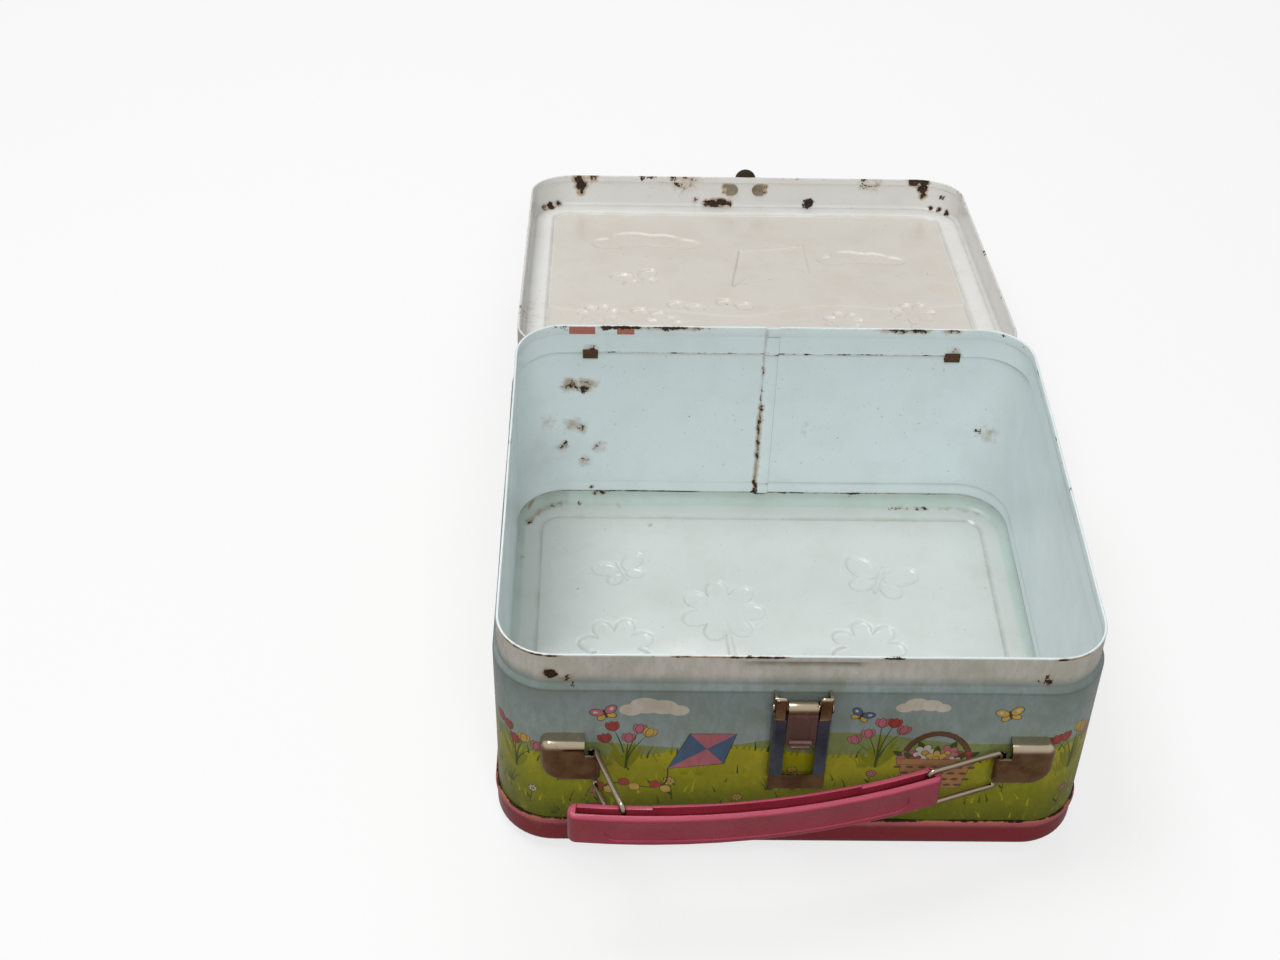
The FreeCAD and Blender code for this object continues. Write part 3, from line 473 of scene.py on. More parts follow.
# %% [markdown]
# ## Metal and plastic finishes
# Each metal has three colours. The bright one is painted on the faces that look upwards, as a painted
# highlight of the light from above; the two browns are partly tarnish and partly painted dark reflection
# of the room in front. The latch's tongue and rails are the dullest of the plated pieces: the rails'
# blue-grey is a painted reflection of blue surroundings, and the tongue's reddish brown is partly a painted
# reflection of the pink grip in front of it. The hinge was never plated well and is mostly rust. The grip
# is moulded pink plastic with a soft shine, so it shares the masks but not the metal; its pink is written
# darker as painted shade, and a pale pink on its upward faces is a painted highlight.

# %% Metal and plastic
BARE_STEEL = tint(92, 66, 46)
PLASTIC_DIRT = tint(110, 52, 62)
TOP_HIGHLIGHT = 0.6


def plated_steel(name, bright, middling, dull, rough, wear, metallic=1.0):
    """Plate with a painted highlight on upward faces, and browns elsewhere, partly tarnish and partly painted
    reflection.
    """
    material, wires, shader = new_material(name)
    plate = wires.use(plate_group, {"Wear": wear})
    brown = wires.blend(wires.ramp(plate["Tarnish"], 0.35, 0.7), rgba(middling), rgba(dull))
    metal = wires.blend(plate["Rubbed"], brown, rgba(bright))
    wires.plug(wires.blend(plate["Gone"], metal, rgba(BARE_STEEL)), shader["Base Color"])
    bare = wires.times(plate["Gone"], 0.7 * metallic)
    wires.plug(wires.minus(metallic, bare), shader["Metallic"])
    dulled = wires.plus(rough, wires.times(plate["Tarnish"], 0.18))
    wires.plug(wires.plus(dulled, wires.times(plate["Gone"], 0.35)), shader["Roughness"])
    marks = wires.node("Bump", {"Strength": 0.25, "Distance": 0.0001, "Height": plate["Scratch"]})
    wires.plug(marks.outputs[0], shader["Normal"])
    return material


def moulded_plastic(name, colour, shade, pale):
    """Coloured plastic, with a painted highlight where it faces upwards."""
    material, wires, shader = new_material(name)
    sheet = wires.use(ripple_group, {"Peel": 0.6})
    plate = wires.use(plate_group, {"Wear": 0.1})
    mottled = wires.blend(wires.ramp(sheet["Patchy"], 0.35, 0.7), rgba(colour), rgba(shade))
    darkened = wires.blend(wires.times(sheet["Speck"], 0.5), mottled, rgba(PLASTIC_DIRT))
    # Upward faces are blended towards the pale colour: a painted highlight.
    top_lit = wires.blend(wires.times(plate["Rubbed"], TOP_HIGHLIGHT), darkened, rgba(pale))
    wires.plug(top_lit, shader["Base Color"])
    wires.plug(wires.ramp(plate["Tarnish"], 0.2, 0.8, 0.22, 0.36), shader["Roughness"])
    grain = wires.node("Bump", {"Strength": 0.2, "Distance": 0.0002, "Height": plate["Scratch"]})
    wires.plug(grain.outputs[0], shader["Normal"])
    shader["Specular IOR Level"].default_value = 0.55
    shader["Subsurface Weight"].default_value = 0.06
    shader["Subsurface Radius"].default_value = (0.004, 0.0015, 0.0018)
    return material


# Each metal: the first colour is the painted highlight on upward faces; the browns are partly tarnish and
# partly painted dark reflection.
nickel = plated_steel("worn_nickel", tint(206, 190, 164), tint(128, 96, 68), tint(96, 66, 44),
                      rough=0.10, wear=0.3)
# The tongue's reddish brown is partly a painted reflection of the pink grip; the rails' blue-grey is a
# painted reflection of blue surroundings.
tongue_tarnish_and_reflection = plated_steel("tongue_tarnish_and_reflection", tint(140, 116, 104), tint(132, 104, 96), tint(112, 86, 78),
                            rough=0.16, wear=0.1, metallic=0.6)
rail_blue_reflection = plated_steel("rail_blue_reflection", tint(146, 144, 140), tint(76, 83, 98), tint(62, 65, 76),
                          rough=0.2, wear=0.12, metallic=0.5)
wire_nickel = plated_steel("bail_nickel", tint(186, 170, 148), tint(138, 118, 98), tint(100, 80, 62),
                           rough=0.12, wear=0.3)
rusty_steel = plated_steel("rusty_hinge", tint(128, 112, 98), tint(110, 92, 78), tint(84, 64, 50),
                           rough=0.34, wear=0.95)
clenched_steel = plated_steel("clenched_steel", tint(190, 180, 160), tint(164, 154, 136), tint(132, 120, 102),
                              rough=0.25, wear=0.2)
dark_steel = plated_steel("dark_steel", tint(104, 96, 80), tint(70, 63, 53), tint(50, 45, 38),
                          rough=0.3, wear=0.4)
# The grip's pink is written dark as painted shade, and its pale pink is the painted highlight on upward
# faces.
pink_plastic = moulded_plastic("moulded_pink", tint(158, 50, 66), tint(146, 42, 56), tint(212, 100, 126))
print("metal and plastic:", nickel.name, "and its like,", pink_plastic.name)

# %% [markdown]
# ## Drawing the print
# The outside of such a box is lithographed before it is folded. The picture is drawn as flat shapes on
# the unrolled sheet, one over another, each with a colour. A triangulation then cuts the sheet along all
# the outlines at once, and every triangle takes the colour of the topmost shape over it. So the picture
# is part of the tin, with crisp edges at any distance, and there is no image file.

# %% Shapes
FINE_FLOWER = 4.0


def turned(points, angle):
    c, s = math.cos(math.radians(angle)), math.sin(math.radians(angle))
    return np.asarray(points, float) @ np.array(((c, s), (-s, c)))


def placed(points, x, y, turn=0.0, size=1.0):
    """Points sized, turned and moved to their place in the picture."""
    return turned(np.asarray(points, float) * size, turn) + (x, y)


def rectangle(reach, low, high):
    """A sheet that reaches as far to the left as to the right."""
    return np.array(((-reach, low), (reach, low), (reach, high), (-reach, high)))


def oval(x, y, across, up, steps=20, turn=0.0):
    angles = np.linspace(0, math.tau, steps, endpoint=False)
    return placed(np.column_stack((across * np.cos(angles), up * np.sin(angles))), x, y, turn)


def leaf(x, y, length, width, angle):
    """A pointed leaf that starts at a point and lies along an angle."""
    shares = np.linspace(0, 1, 8)
    half = width / 2 * np.sin(math.pi * shares) ** 0.8
    edge = np.column_stack((shares * length, half))
    back = np.column_stack((shares[-2:0:-1] * length, -half[-2:0:-1]))
    return placed(np.vstack((edge, back)), x, y, angle)


def blossom(x, y, radius, petals, turn=0.0):
    """The outline of a flower with round petals."""
    fineness = 8 if radius > FINE_FLOWER else 4
    angles = np.linspace(0, math.tau, petals * fineness, endpoint=False)
    reach = radius * (0.56 + 0.44 * np.abs(np.sin(petals * angles / 2)) ** 0.7)
    return placed(np.column_stack((reach * np.cos(angles), reach * np.sin(angles))), x, y, turn)


def stalk(x, y, lean, height, width, steps=7):
    """A curved stalk that narrows to its tip."""
    shares = np.linspace(0, 1, steps)
    line = np.column_stack((x + lean * shares ** 2, y + height * shares))
    half = width / 2 * (1 - 0.75 * shares)
    return np.vstack((line + np.outer(half, (1, 0)), (line - np.outer(half, (1, 0)))[::-1]))


def anticlockwise(points):
    """The same outline, turned round if it runs clockwise."""
    points = np.asarray(points, float)
    following = np.roll(points, -1, axis=0)
    area = np.sum(points[:, 0] * following[:, 1] - following[:, 0] * points[:, 1])
    return points if area > 0 else points[::-1]


def grown(points, by):
    """A shape with its outline moved outwards."""
    points = anticlockwise(points)
    ahead = np.roll(points, -1, axis=0) - points
    behind = points - np.roll(points, 1, axis=0)
    ahead = ahead / np.linalg.norm(ahead, axis=1)[:, None]
    behind = behind / np.linalg.norm(behind, axis=1)[:, None]
    outward = np.column_stack((ahead[:, 1] + behind[:, 1], -ahead[:, 0] - behind[:, 0]))
    return points + by * outward / np.maximum(np.linalg.norm(outward, axis=1), 0.6)[:, None]


print("a blossom has", len(blossom(0, 0, 3, 6)), "points")

# %% [markdown]
# ## Cutting up the sheet
# A picture keeps its shapes in order, each with a colour and with how far it is embossed. Blender's own
# triangulation takes all outlines and guide points at once, and says which outlines cover each triangle.
# The print's colours are those of old ink under yellowed lacquer, a little brown and dull.

# %% Picture
EMBOSS_SOFT = 1.3
CUT_TOLERANCE = 1e-4


class Picture:
    """Flat coloured shapes, the last one on top; some of them are also embossed."""

    def __init__(self):
        self.shapes = []
        self.colours = []
        self.raised = []

    def add(self, shape, colour, raised=0.0):
        """A shape; an embossed one gets two more outlines that only guide the cut along its slope."""
        self.shapes.append(anticlockwise(shape))
        self.colours.append(colour)
        self.raised.append(raised)
        if raised:
            for by in (EMBOSS_SOFT / 2, -EMBOSS_SOFT / 2):
                self.shapes.append(grown(shape, by))
                self.colours.append(None)
                self.raised.append(0.0)

    def inked(self, shape, colour, raised=0.0, line=0.28):
        """A shape with a thin dark outline."""
        self.add(grown(shape, line), INK)
        self.add(shape, colour, raised)

    def topmost(self, origin):
        """The colour of the last painted shape among those that cover a triangle."""
        for index in sorted(origin, reverse=True):
            if index and self.colours[index - 1] is not None:
                return self.colours[index - 1]
        return PAPER

    def cut(self, border, marks, ties):
        """Points, triangles and a colour for each corner, inside a border and through all the marks."""
        points = [Vector(point) for point in border]
        faces = [list(range(len(border)))]
        for shape in self.shapes:
            faces.append(list(range(len(points), len(points) + len(shape))))
            points.extend(Vector(point) for point in shape)
        start = len(points)
        points.extend(Vector(mark) for mark in marks)
        edges = [(start + first, start + last) for first, last in ties]
        places, _, triangles, _, _, origins = delaunay_2d_cdt(points, edges, faces, 1, CUT_TOLERANCE)
        kept = []
        colours = []
        for triangle, origin in zip(triangles, origins):
            if 0 in origin:
                kept.append(triangle)
                colour = self.topmost(origin)
                colours.append([colour(places[c]) if callable(colour) else colour for c in triangle])
        used = sorted({corner for triangle in kept for corner in triangle})
        new_place = {old: new for new, old in enumerate(used)}
        kept = [[new_place[corner] for corner in triangle] for triangle in kept]
        return np.array([places[index] for index in used]), kept, colours


INK = tint(74, 62, 52)
PAPER = tint(206, 198, 184)
ROSE = tint(192, 112, 124)
CORAL = tint(172, 72, 66)
SUN = tint(204, 168, 84)
TAN = tint(176, 126, 84)
BARK = tint(112, 76, 50)
DENIM = tint(82, 106, 138)
SKY_HIGH = tint(136, 150, 151)
SKY_LOW = tint(162, 174, 170)
FAR_HILL = tint(138, 150, 92)
MEADOW = tint(178, 170, 34)
LAWN = tint(136, 136, 18)
FOLIAGE = tint(72, 84, 22)
NECK_PAINT = tint(208, 203, 195)
# The pan's pink wall is written dark as painted shade, and its bead lighter as a painted highlight.
ROSE_WALL_SHADED = tint(139, 42, 50)
ROSE_BEAD_LIT = tint(186, 92, 98)
print("embossing slopes over %.1f mm" % EMBOSS_SOFT)

# %% [markdown]
# ## Motifs
# Flowers, tufts of grass, butterflies and clouds are small functions, so that the wall, the lid and the
# underside can each arrange them in their own way. Their parts are shares of one given size.

# %% Motifs


def flower(picture, x, y, radius, colour, turn=0.0, raised=0.0, petals=7):
    picture.inked(blossom(x, y, radius, petals, turn), colour, raised)
    picture.inked(oval(x, y, radius * 0.26, radius * 0.26, 14 if radius > FINE_FLOWER else 7), SUN)


def stem_flower(picture, x, y, height, lean, radius, colour, raised=0.0):
    """A flower on its stalk, with two leaves."""
    picture.add(stalk(x, y, lean, height, radius * 0.3), FOLIAGE, raised)
    picture.add(leaf(x, y + height * 0.1, height * 0.5, radius * 0.55, 62), LAWN, raised)
    picture.add(leaf(x, y + height * 0.2, height * 0.45, radius * 0.5, 124), FOLIAGE, raised)
    flower(picture, x + lean, y + height, radius, colour, 11 * x, raised)


def tuft(picture, x, y, height, blades, colour):
    for blade in range(blades):
        share = blade / (blades - 1) - 0.5
        reach = height * (1 - 0.9 * share ** 2)
        picture.add(stalk(x + share * height * 0.3, y, share * height * 0.9, reach, height * 0.09), colour)


def butterfly(picture, x, y, span, colour, turn=0.0, raised=0.0):
    """Two pairs of wings, a spot on each upper one, and a body between them."""
    def part(across, up, wide, high, steps, lean=0):
        return placed(oval(across * span, up * span, wide * span, high * span, steps, lean), x, y, turn)

    for side in (-1, 1):
        picture.inked(part(side * 0.20, -0.14, 0.17, 0.13, 16, side * -35), SUN, raised)
        picture.inked(part(side * 0.27, 0.16, 0.25, 0.17, 18, side * 32), colour, raised)
        picture.add(part(side * 0.31, 0.18, 0.09, 0.06, 10, side * 32), PAPER)
    picture.add(part(0, 0, 0.035, 0.27, 12), INK, raised)


def cloud(picture, x, y, size, raised=0.0):
    for across, up, radius in ((-1.1, 0, 0.55), (-0.4, 0.3, 0.75), (0.45, 0.22, 0.68), (1.15, 0, 0.5)):
        puff = oval(across * size, up * size, radius * size, radius * size * 0.72)
        picture.add(puff + (x, y), PAPER, raised)


trial = Picture()
butterfly(trial, 0, 0, 10, ROSE)
print("a butterfly is", len(trial.shapes), "shapes")

# %% [markdown]
# ## Larger motifs
# A kite and a basket of flowers give the eye something to find, and hills give the ground. The basket
# heaps up the same flowers again, and its weave is two loops.

# %% Larger motifs
HILL_STEPS = 121


def kite(picture, x, y, size, turn, raised=0.0):
    """A paper kite of four quarters with bows along its tail."""
    head, tail, wing = size, -size * 1.35, size * 0.78
    tips = np.array(((0, head), (-wing, 0), (0, tail), (wing, 0)))
    picture.add(grown(placed(tips, x, y, turn), 0.4), INK, raised)
    for index, colour in enumerate((ROSE, DENIM, ROSE, DENIM)):
        picture.add(placed((tips[index], tips[(index + 1) % 4], (0, 0)), x, y, turn), colour, raised)
    shares = np.linspace(0, 1, 26)
    line = np.column_stack((size * 0.5 * np.sin(shares * 8.5), tail - shares * size * 3.2))
    ribbon = np.vstack((line + (size * 0.03, 0), (line - (size * 0.03, 0))[::-1]))
    picture.add(placed(ribbon, x, y, turn), INK)
    for knot_x, knot_y in line[5::5]:
        for side in (0, 180):
            bow = leaf(knot_x, knot_y, size * 0.36, size * 0.3, side + 18)
            picture.inked(placed(bow, x, y, turn), CORAL if side else SUN, raised, 0.2)


def basket(picture, x, y, size, raised=0.0):
    """A woven basket heaped with flowers."""
    hoop = np.vstack((oval(0, 0.5, 0.92, 1.15, 28)[:15], oval(0, 0.5, 0.8, 1.0, 28)[:15][::-1]))
    picture.inked(placed(hoop, x, y, size=size), BARK, raised)
    heap = ((-0.72, 0.62, 0.3, ROSE), (0.7, 0.62, 0.32, CORAL), (-0.3, 0.82, 0.32, PAPER),
            (0.28, 0.84, 0.3, ROSE), (0.0, 0.62, 0.3, SUN), (-0.52, 0.48, 0.24, CORAL),
            (0.46, 0.48, 0.24, PAPER))
    for across, up, radius, colour in heap:
        picture.add(leaf(x + across * size, y + up * size, size * 0.5, size * 0.2, 90 - across * 80), FOLIAGE)
        flower(picture, x + across * size, y + up * size, radius * size, colour, across * 40, raised, 6)
    side = ((-0.95, 0.45), (-0.72, -0.55), (0.72, -0.55), (0.95, 0.45))
    picture.inked(placed(side, x, y, size=size), TAN, raised)
    for row in range(4):
        for column in range(6 + row % 2):
            across = (column - 2.5 - 0.5 * (row % 2)) * 0.27
            weave = oval(across * (1 + row * 0.06), -0.42 + row * 0.23, 0.11, 0.05, 10)
            picture.add(placed(weave, x, y, size=size), BARK)
    brim = ((-1.02, 0.58), (-0.98, 0.36), (0.98, 0.36), (1.02, 0.58))
    picture.inked(placed(brim, x, y, size=size), TAN, raised)


def skyline(share, level, waves):
    """The height of a wavy skyline; each wave has a size, a number of turns and a phase."""
    return level + sum(size * np.sin(math.tau * (turns * share + phase)) for size, turns, phase in waves)


def hill(picture, start, end, level, waves, foot, colour, raised=0.0):
    """Ground with a wavy skyline from one side of the picture to the other."""
    along = np.linspace(start, end, HILL_STEPS)
    line = skyline((along - start) / (end - start), level, waves)
    picture.add(np.vstack((np.column_stack((along, line)), ((end, foot), (start, foot)))), colour, raised)


trial = Picture()
basket(trial, 0, 0, 13)
print("a basket is", len(trial.shapes), "shapes")

# %% [markdown]
# ## The meadow
# The wall is unrolled with the middle of the front at zero, so the same distance runs right to the hinge
# and left to the hinge. A meadow goes all the way round. Grass, tulips, small flowers and loose strokes
# of the brush are scattered from a seeded list of chances, so every run draws the same meadow.

# %% Meadow
RUN_X = WIDTH / 2 - CORNER
RUN_Y = DEPTH - 2 * CORNER
BEND = CORNER * math.pi / 2
HALF_ROUND = 2 * RUN_X + 2 * BEND + RUN_Y
TUFT_STEP = 7.5
SEAM_CLEAR = 12


def mixed(first, second, share):
    return tuple((1 - share) * np.array(first) + share * np.array(second))


def shaded(low_colour, high_colour, low, high):
    """A colour that changes with the height in the picture."""
    def colour(point):
        return mixed(low_colour, high_colour, min(max((point[1] - low) / (high - low), 0), 1))
    return colour


def scatter_meadow(picture, draw):
    """Grass and small flowers along the whole wall, away from the lock seam."""
    for index in range(int(2 * HALF_ROUND / TUFT_STEP)):
        x = -HALF_ROUND + 5 + index * TUFT_STEP + draw.uniform(-2, 2)
        if abs(x) > HALF_ROUND - SEAM_CLEAR:
            continue
        tuft(picture, x, draw.uniform(17, 44), draw.uniform(5, 10), 5, draw.choice((FOLIAGE, LAWN, LAWN)))
        if index % 3 == 0:
            radius = draw.uniform(1.4, 2.3)
            colour = draw.choice((ROSE, PAPER, CORAL, SUN, ROSE))
            foot, height, lean = draw.uniform(17, 40), draw.uniform(6, 11), draw.uniform(-2, 2)
            stem_flower(picture, x + 3, foot, height, lean, radius, colour)


def grass_fringe(picture, draw, level, waves, spacing):
    """Short blades all along a skyline, with their feet in the ground."""
    for x in np.arange(-HALF_ROUND + 4, HALF_ROUND - 4, spacing):
        foot = skyline((x + HALF_ROUND) / (2 * HALF_ROUND), level, waves) - 1.5
        lean = draw.uniform(-2.2, 2.2)
        height = draw.uniform(3, 6.5)
        picture.add(stalk(x, foot, lean, height, 0.8, 4), draw.choice((FOLIAGE, LAWN, LAWN, MEADOW)))


def brush_strokes(picture, draw, low, high, count, colours):
    """Loose strokes of the brush over the ground."""
    for _ in range(count):
        x = draw.uniform(-HALF_ROUND + 6, HALF_ROUND - 6)
        y = draw.uniform(low, high)
        picture.add(stalk(x, y, draw.uniform(-3, 3), draw.uniform(2, 5), 0.7, 3), draw.choice(colours))


def tulips(picture, x, y, draw):
    """A clump of tulips among pointed leaves."""
    for index in range(5):
        lean = (index - 2) * 3.6 + draw.uniform(-1, 1)
        height = draw.uniform(12, 21)
        colour = draw.choice((ROSE, CORAL, ROSE, SUN))
        picture.add(leaf(x + lean * 0.1, y, height * 0.75, 2.2, 90 - lean * 4 + draw.uniform(-8, 8)), LAWN)
        picture.add(stalk(x, y, lean, height, 0.9), FOLIAGE)
        for side in (-1, 1, 0):
            petal = leaf(x + lean, y + height - 0.8, 4.8, 2.5, 90 - lean * 2.5 - side * 22)
            picture.inked(petal, colour, 0, 0.2)


def tree(picture, x, y, size):
    """A trunk, four round crowns and lighter tufts of leaves over them."""
    trunk = ((-0.16, 0), (0.16, 0), (0.1, 1.1), (-0.1, 1.1))
    picture.inked(placed(trunk, x, y, size=size), BARK)
    for across, up, radius in ((-0.5, 1.2, 0.5), (0.5, 1.2, 0.5), (0, 1.55, 0.6), (0, 1.1, 0.5)):
        picture.inked(blossom(x + across * size, y + up * size, radius * size, 11), FOLIAGE)
    for across, up in ((-0.6, 1.3), (-0.2, 1.75), (0.25, 1.3), (0.6, 1.15), (0.1, 1.5), (-0.25, 1.1)):
        picture.add(blossom(x + across * size, y + up * size, 0.16 * size, 6), LAWN)


print("half way round is %.1f mm" % HALF_ROUND)

# %% [markdown]
# ## The wall's picture
# Sky, clouds and far hills come first, then the field and the bank in front of it, each with its fringe
# of grass. The larger motifs stand where the hardware leaves room for them.

# %% Wall picture
STEP = 80.8
SKY_FOOT = 46
HILL_LEVEL = 56
FIELD_LEVEL = 50
FIELD_WAVES = ((2.5, 6, 0.4), (1.2, 13, 0.2))
BANK_LEVEL = 30
BANK_WAVES = ((3, 5, 0.8), (1.5, 11, 0.5))
SIDE_MIDDLE = RUN_X + BEND + RUN_Y / 2


def wall_ground(picture, draw):
    """Far hills, the field and the bank, with grass and brush strokes over them."""
    ends = (-HALF_ROUND, HALF_ROUND)
    hill(picture, *ends, HILL_LEVEL, ((3, 4, 0.1), (2, 9, 0.6)), BAND_FOOT, FAR_HILL)
    field = shaded(LAWN, MEADOW, BANK_LEVEL, FIELD_LEVEL)
    hill(picture, *ends, FIELD_LEVEL, FIELD_WAVES, BAND_FOOT, field)
    grass_fringe(picture, draw, FIELD_LEVEL, FIELD_WAVES, 2.0)
    brush_strokes(picture, draw, 30, 47, 260, (LAWN, LAWN, MEADOW, FOLIAGE))
    bank = shaded(FOLIAGE, LAWN, BAND_FOOT, BANK_LEVEL)
    hill(picture, *ends, BANK_LEVEL, BANK_WAVES, BAND_FOOT, bank)
    grass_fringe(picture, draw, BANK_LEVEL, BANK_WAVES, 2.6)
    brush_strokes(picture, draw, 16, 26, 200, (LAWN, FOLIAGE, MEADOW))


def wall_picture():
    draw = random.Random(7)
    picture = Picture()
    picture.add(rectangle(HALF_ROUND, BAND_FOOT, STEP), shaded(SKY_LOW, SKY_HIGH, SKY_FOOT, STEP))
    for x, y, size in ((-48, 71, 7), (40, 73, 5.5), (-150, 70, 8), (170, 72, 7), (-215, 74, 5), (240, 69, 6),
                       (300, 60, 6), (-310, 58, 7)):
        cloud(picture, x, y, size)
    wall_ground(picture, draw)
    tree(picture, SIDE_MIDDLE + 30, 40, 17)
    tree(picture, -SIDE_MIDDLE + 24, 38, 19)
    scatter_meadow(picture, draw)
    for x, y in ((-95, 38), (-57, 42), (27, 43), (94, 40), (150, 36), (225, 38), (-145, 38), (-232, 36),
                 (292, 32), (-285, 34), (340, 30)):
        tulips(picture, x, y, draw)
    kite(picture, -30, 52, 12, -52)
    basket(picture, 47, 40, 13)
    kite(picture, -SIDE_MIDDLE - 22, 58, 10, 60)
    basket(picture, SIDE_MIDDLE - 28, 34, 13)
    basket(picture, -HALF_ROUND + 38, 36, 12)
    for x, y, span, colour, turn in (
            (-64, 69, 9, ROSE, 20), (20, 69, 8, DENIM, -25), (69, 70, 9, SUN, 15),
            (126, 58, 10, ROSE, -20), (205, 64, 9, DENIM, 12), (-120, 60, 10, CORAL, 25),
            (-200, 66, 9, ROSE, -15), (318, 48, 10, DENIM, 20), (-345, 50, 9, ROSE, 0)):
        butterfly(picture, x, y, span, colour, turn)
    return picture


print("the field's edge is at %.0f mm, the far hills at %.0f mm" % (FIELD_LEVEL, HILL_LEVEL))

# %% [markdown]
# ## Wrapping the wall
# One strip of tin is bent round to make the four walls. A distance along the strip turns into a place on
# the rounded rectangle and a direction outwards. Thin sheet is never quite flat, so a slow ripple of a
# tenth of a millimetre is added to every ring and to the print.

# %% Wrapping the wall


def along_wall(s):
    """Place and outward direction at a distance round the wall from the middle of the front."""
    side = np.where(np.asarray(s) < 0, -1.0, 1.0)
    t = np.abs(s)
    limits = np.cumsum((RUN_X, BEND, RUN_Y, BEND))
    first = (t - limits[0]) / CORNER
    second = (t - limits[2]) / CORNER + math.pi / 2
    angle = np.select((t < limits[0], t < limits[1], t < limits[2], t < limits[3]),
                      (0 * t, first, 0 * t + math.pi / 2, second), math.pi)
    x = np.select((t < limits[0], t < limits[3]), (t, 0 * t + RUN_X), RUN_X - (t - limits[3]))
    y = np.select((t < limits[1], t < limits[2]), (0 * t - RUN_Y / 2, t - limits[1] - RUN_Y / 2), RUN_Y / 2)
    normal = np.column_stack((side * np.sin(angle), -np.cos(angle)))
    return np.column_stack((side * x, y)) + CORNER * normal, normal


def wall_ripple(points):
    """Slow unevenness of the thin sheet, outwards, in millimetres."""
    x, y, z = points.T
    slow = 0.10 * np.sin(x / 23 + 0.7) * np.sin(y / 27 + z / 31 + 0.4)
    return slow + 0.06 * np.sin(x / 9 + y / 11 - z / 14)


ring_flat = ring(WIDTH, DEPTH, CORNER)
ring_step = np.linalg.norm(np.roll(ring_flat, -1, axis=0) - ring_flat, axis=1)
ring_arc = np.concatenate(([0], np.cumsum(ring_step)[:-1]))
ring_s = ring_arc * 2 * HALF_ROUND / ring_step.sum() - HALF_ROUND


def band_ring(inset, z, swell=0.0):
    """A ring of the band at an inset from its outer face; swell adds to single points."""
    flat, normal = along_wall(ring_s)
    level = np.column_stack((flat, np.full(len(flat), z)))
    out = wall_ripple(level) - inset + swell
    return np.column_stack((flat + normal * out[:, None], level[:, 2]))


print("a ring of the wall runs from %.1f to %.1f mm" % (ring_s[0], ring_s[-1]))

# %% [markdown]
# ## Neck, recess and seam
# Above a small step the wall is drawn in to a neck that the lid slides over. Two round bumps on the neck
# hold the lid by friction, a shallow recess lets the keeper pass, and the strip's ends are locked in a
# rib on the inside of the hinge wall. All of them only push points of a ring in or out.

# %% Neck, recess and seam
STEP_RISE = 0.9
NECK_INSET = 1.5
BUMP_X = 79.0
BUMP_Z = 85.4
BUMP_RADIUS = 3.2
BUMP_PROUD = 0.35
RECESS_HALF = 21.0
RECESS_DEEP = 0.9
RECESS_TOP = RIM - 2.3
RECESS_FOOT = STEP + 2.0
RECESS_SIDE = 5.0
RECESS_LIP = 0.9


def eased(share):
    """A share from 0 to 1 that starts and ends softly."""
    share = np.clip(share, 0, 1)
    return share * share * (3 - 2 * share)


def bump_swell(z):
    """How far the pressed bumps stand out on the neck at each point of a ring."""
    flat, _ = along_wall(ring_s)
    away = np.hypot(np.abs(flat[:, 0]) - BUMP_X, z - BUMP_Z) / BUMP_RADIUS
    return np.where(flat[:, 1] < 0, BUMP_PROUD * np.maximum(1 - away ** 2, 0), 0)


def recess(x, y, z):
    """Depth of the shallow recess in the middle of the front that the keeper passes."""
    across = eased((RECESS_HALF - np.abs(x)) / RECESS_SIDE)
    down = eased((RECESS_TOP - z) / RECESS_LIP) * eased((z - RECESS_FOOT) / RECESS_SIDE)
    return np.where(y < 0, RECESS_DEEP * across * down, 0)


def neck_press(z):
    """The bumps and the recess, as they press the neck out and in."""
    flat, _ = along_wall(ring_s)
    return bump_swell(z) - recess(flat[:, 0], flat[:, 1], z)


def seam_swell(inner_side):
    """The lock seam's rib on the inside of the hinge wall."""
    flat, _ = along_wall(ring_s)
    rib = (np.abs(flat[:, 0]) < SEAM_WIDTH / 2) & (flat[:, 1] > 0)
    return np.where(rib, -SEAM_THICK * inner_side, 0)


print("the neck is pressed out by up to %.2f mm" % neck_press(BUMP_Z).max())

# %% [markdown]
# ## Where the band is worn
# Wear, and a dark tint that is partly dirt and partly painted shade, are plain functions of place: a line
# along the rim, the seam and the step, and soft round zones where the paint has blistered. The shaders turn
# the wear into ragged chips and stains. Inside and outside of the sheet are told apart by how far a point
# lies within the outer face.

# %% Wear of the band
STEP_SOFT = 1.9
PRINT_TOP = STEP + STEP_RISE / 2 - STEP_SOFT / 2
FOLD_LINE = 5.9
HINGE_STRIP = 4.0
SEAM_DAMP = 56.0
FRONT_WALL = -DEPTH / 2
HINGE_WALL = DEPTH / 2 - SHEET


def depth_in(points, width=WIDTH, depth=DEPTH, corner=CORNER):
    """How far a point lies inside a rounded rectangle, which is the band's outer face if not given."""
    reach = np.abs(points[:, :2]) - (width / 2 - corner, depth / 2 - corner)
    past = np.linalg.norm(np.maximum(reach, 0), axis=1)
    return corner - past - np.minimum(reach.max(axis=1), 0)


def line_wear(value, at, width):
    """A narrow line of wear, strongest at one value."""
    return np.exp(-((value - at) / width) ** 2)


def on_wall(y, places):
    """Zones on a wall that runs across the box, given as place along it, height, radius and strength."""
    return tuple((x, y, z, radius, strength) for x, z, radius, strength in places)


def spots(points, places):
    """Soft round zones of wear: place, radius and strength."""
    worn = np.zeros(len(points))
    for x, y, z, radius, strength in places:
        away = np.linalg.norm(points - (x, y, z), axis=1) / radius
        worn = np.maximum(worn, strength * np.exp(-away ** 2))
    return worn


def stretches(x, front, places):
    """Wear along the rim: first and last place, front or hinge side, and strength."""
    worn = np.zeros(len(x))
    for first, last, on_front, strength in places:
        soft = np.clip(np.minimum(x - first, last - x) / 3 + 0.5, 0, 1)
        worn = np.maximum(worn, strength * soft * (front == on_front))
    return worn


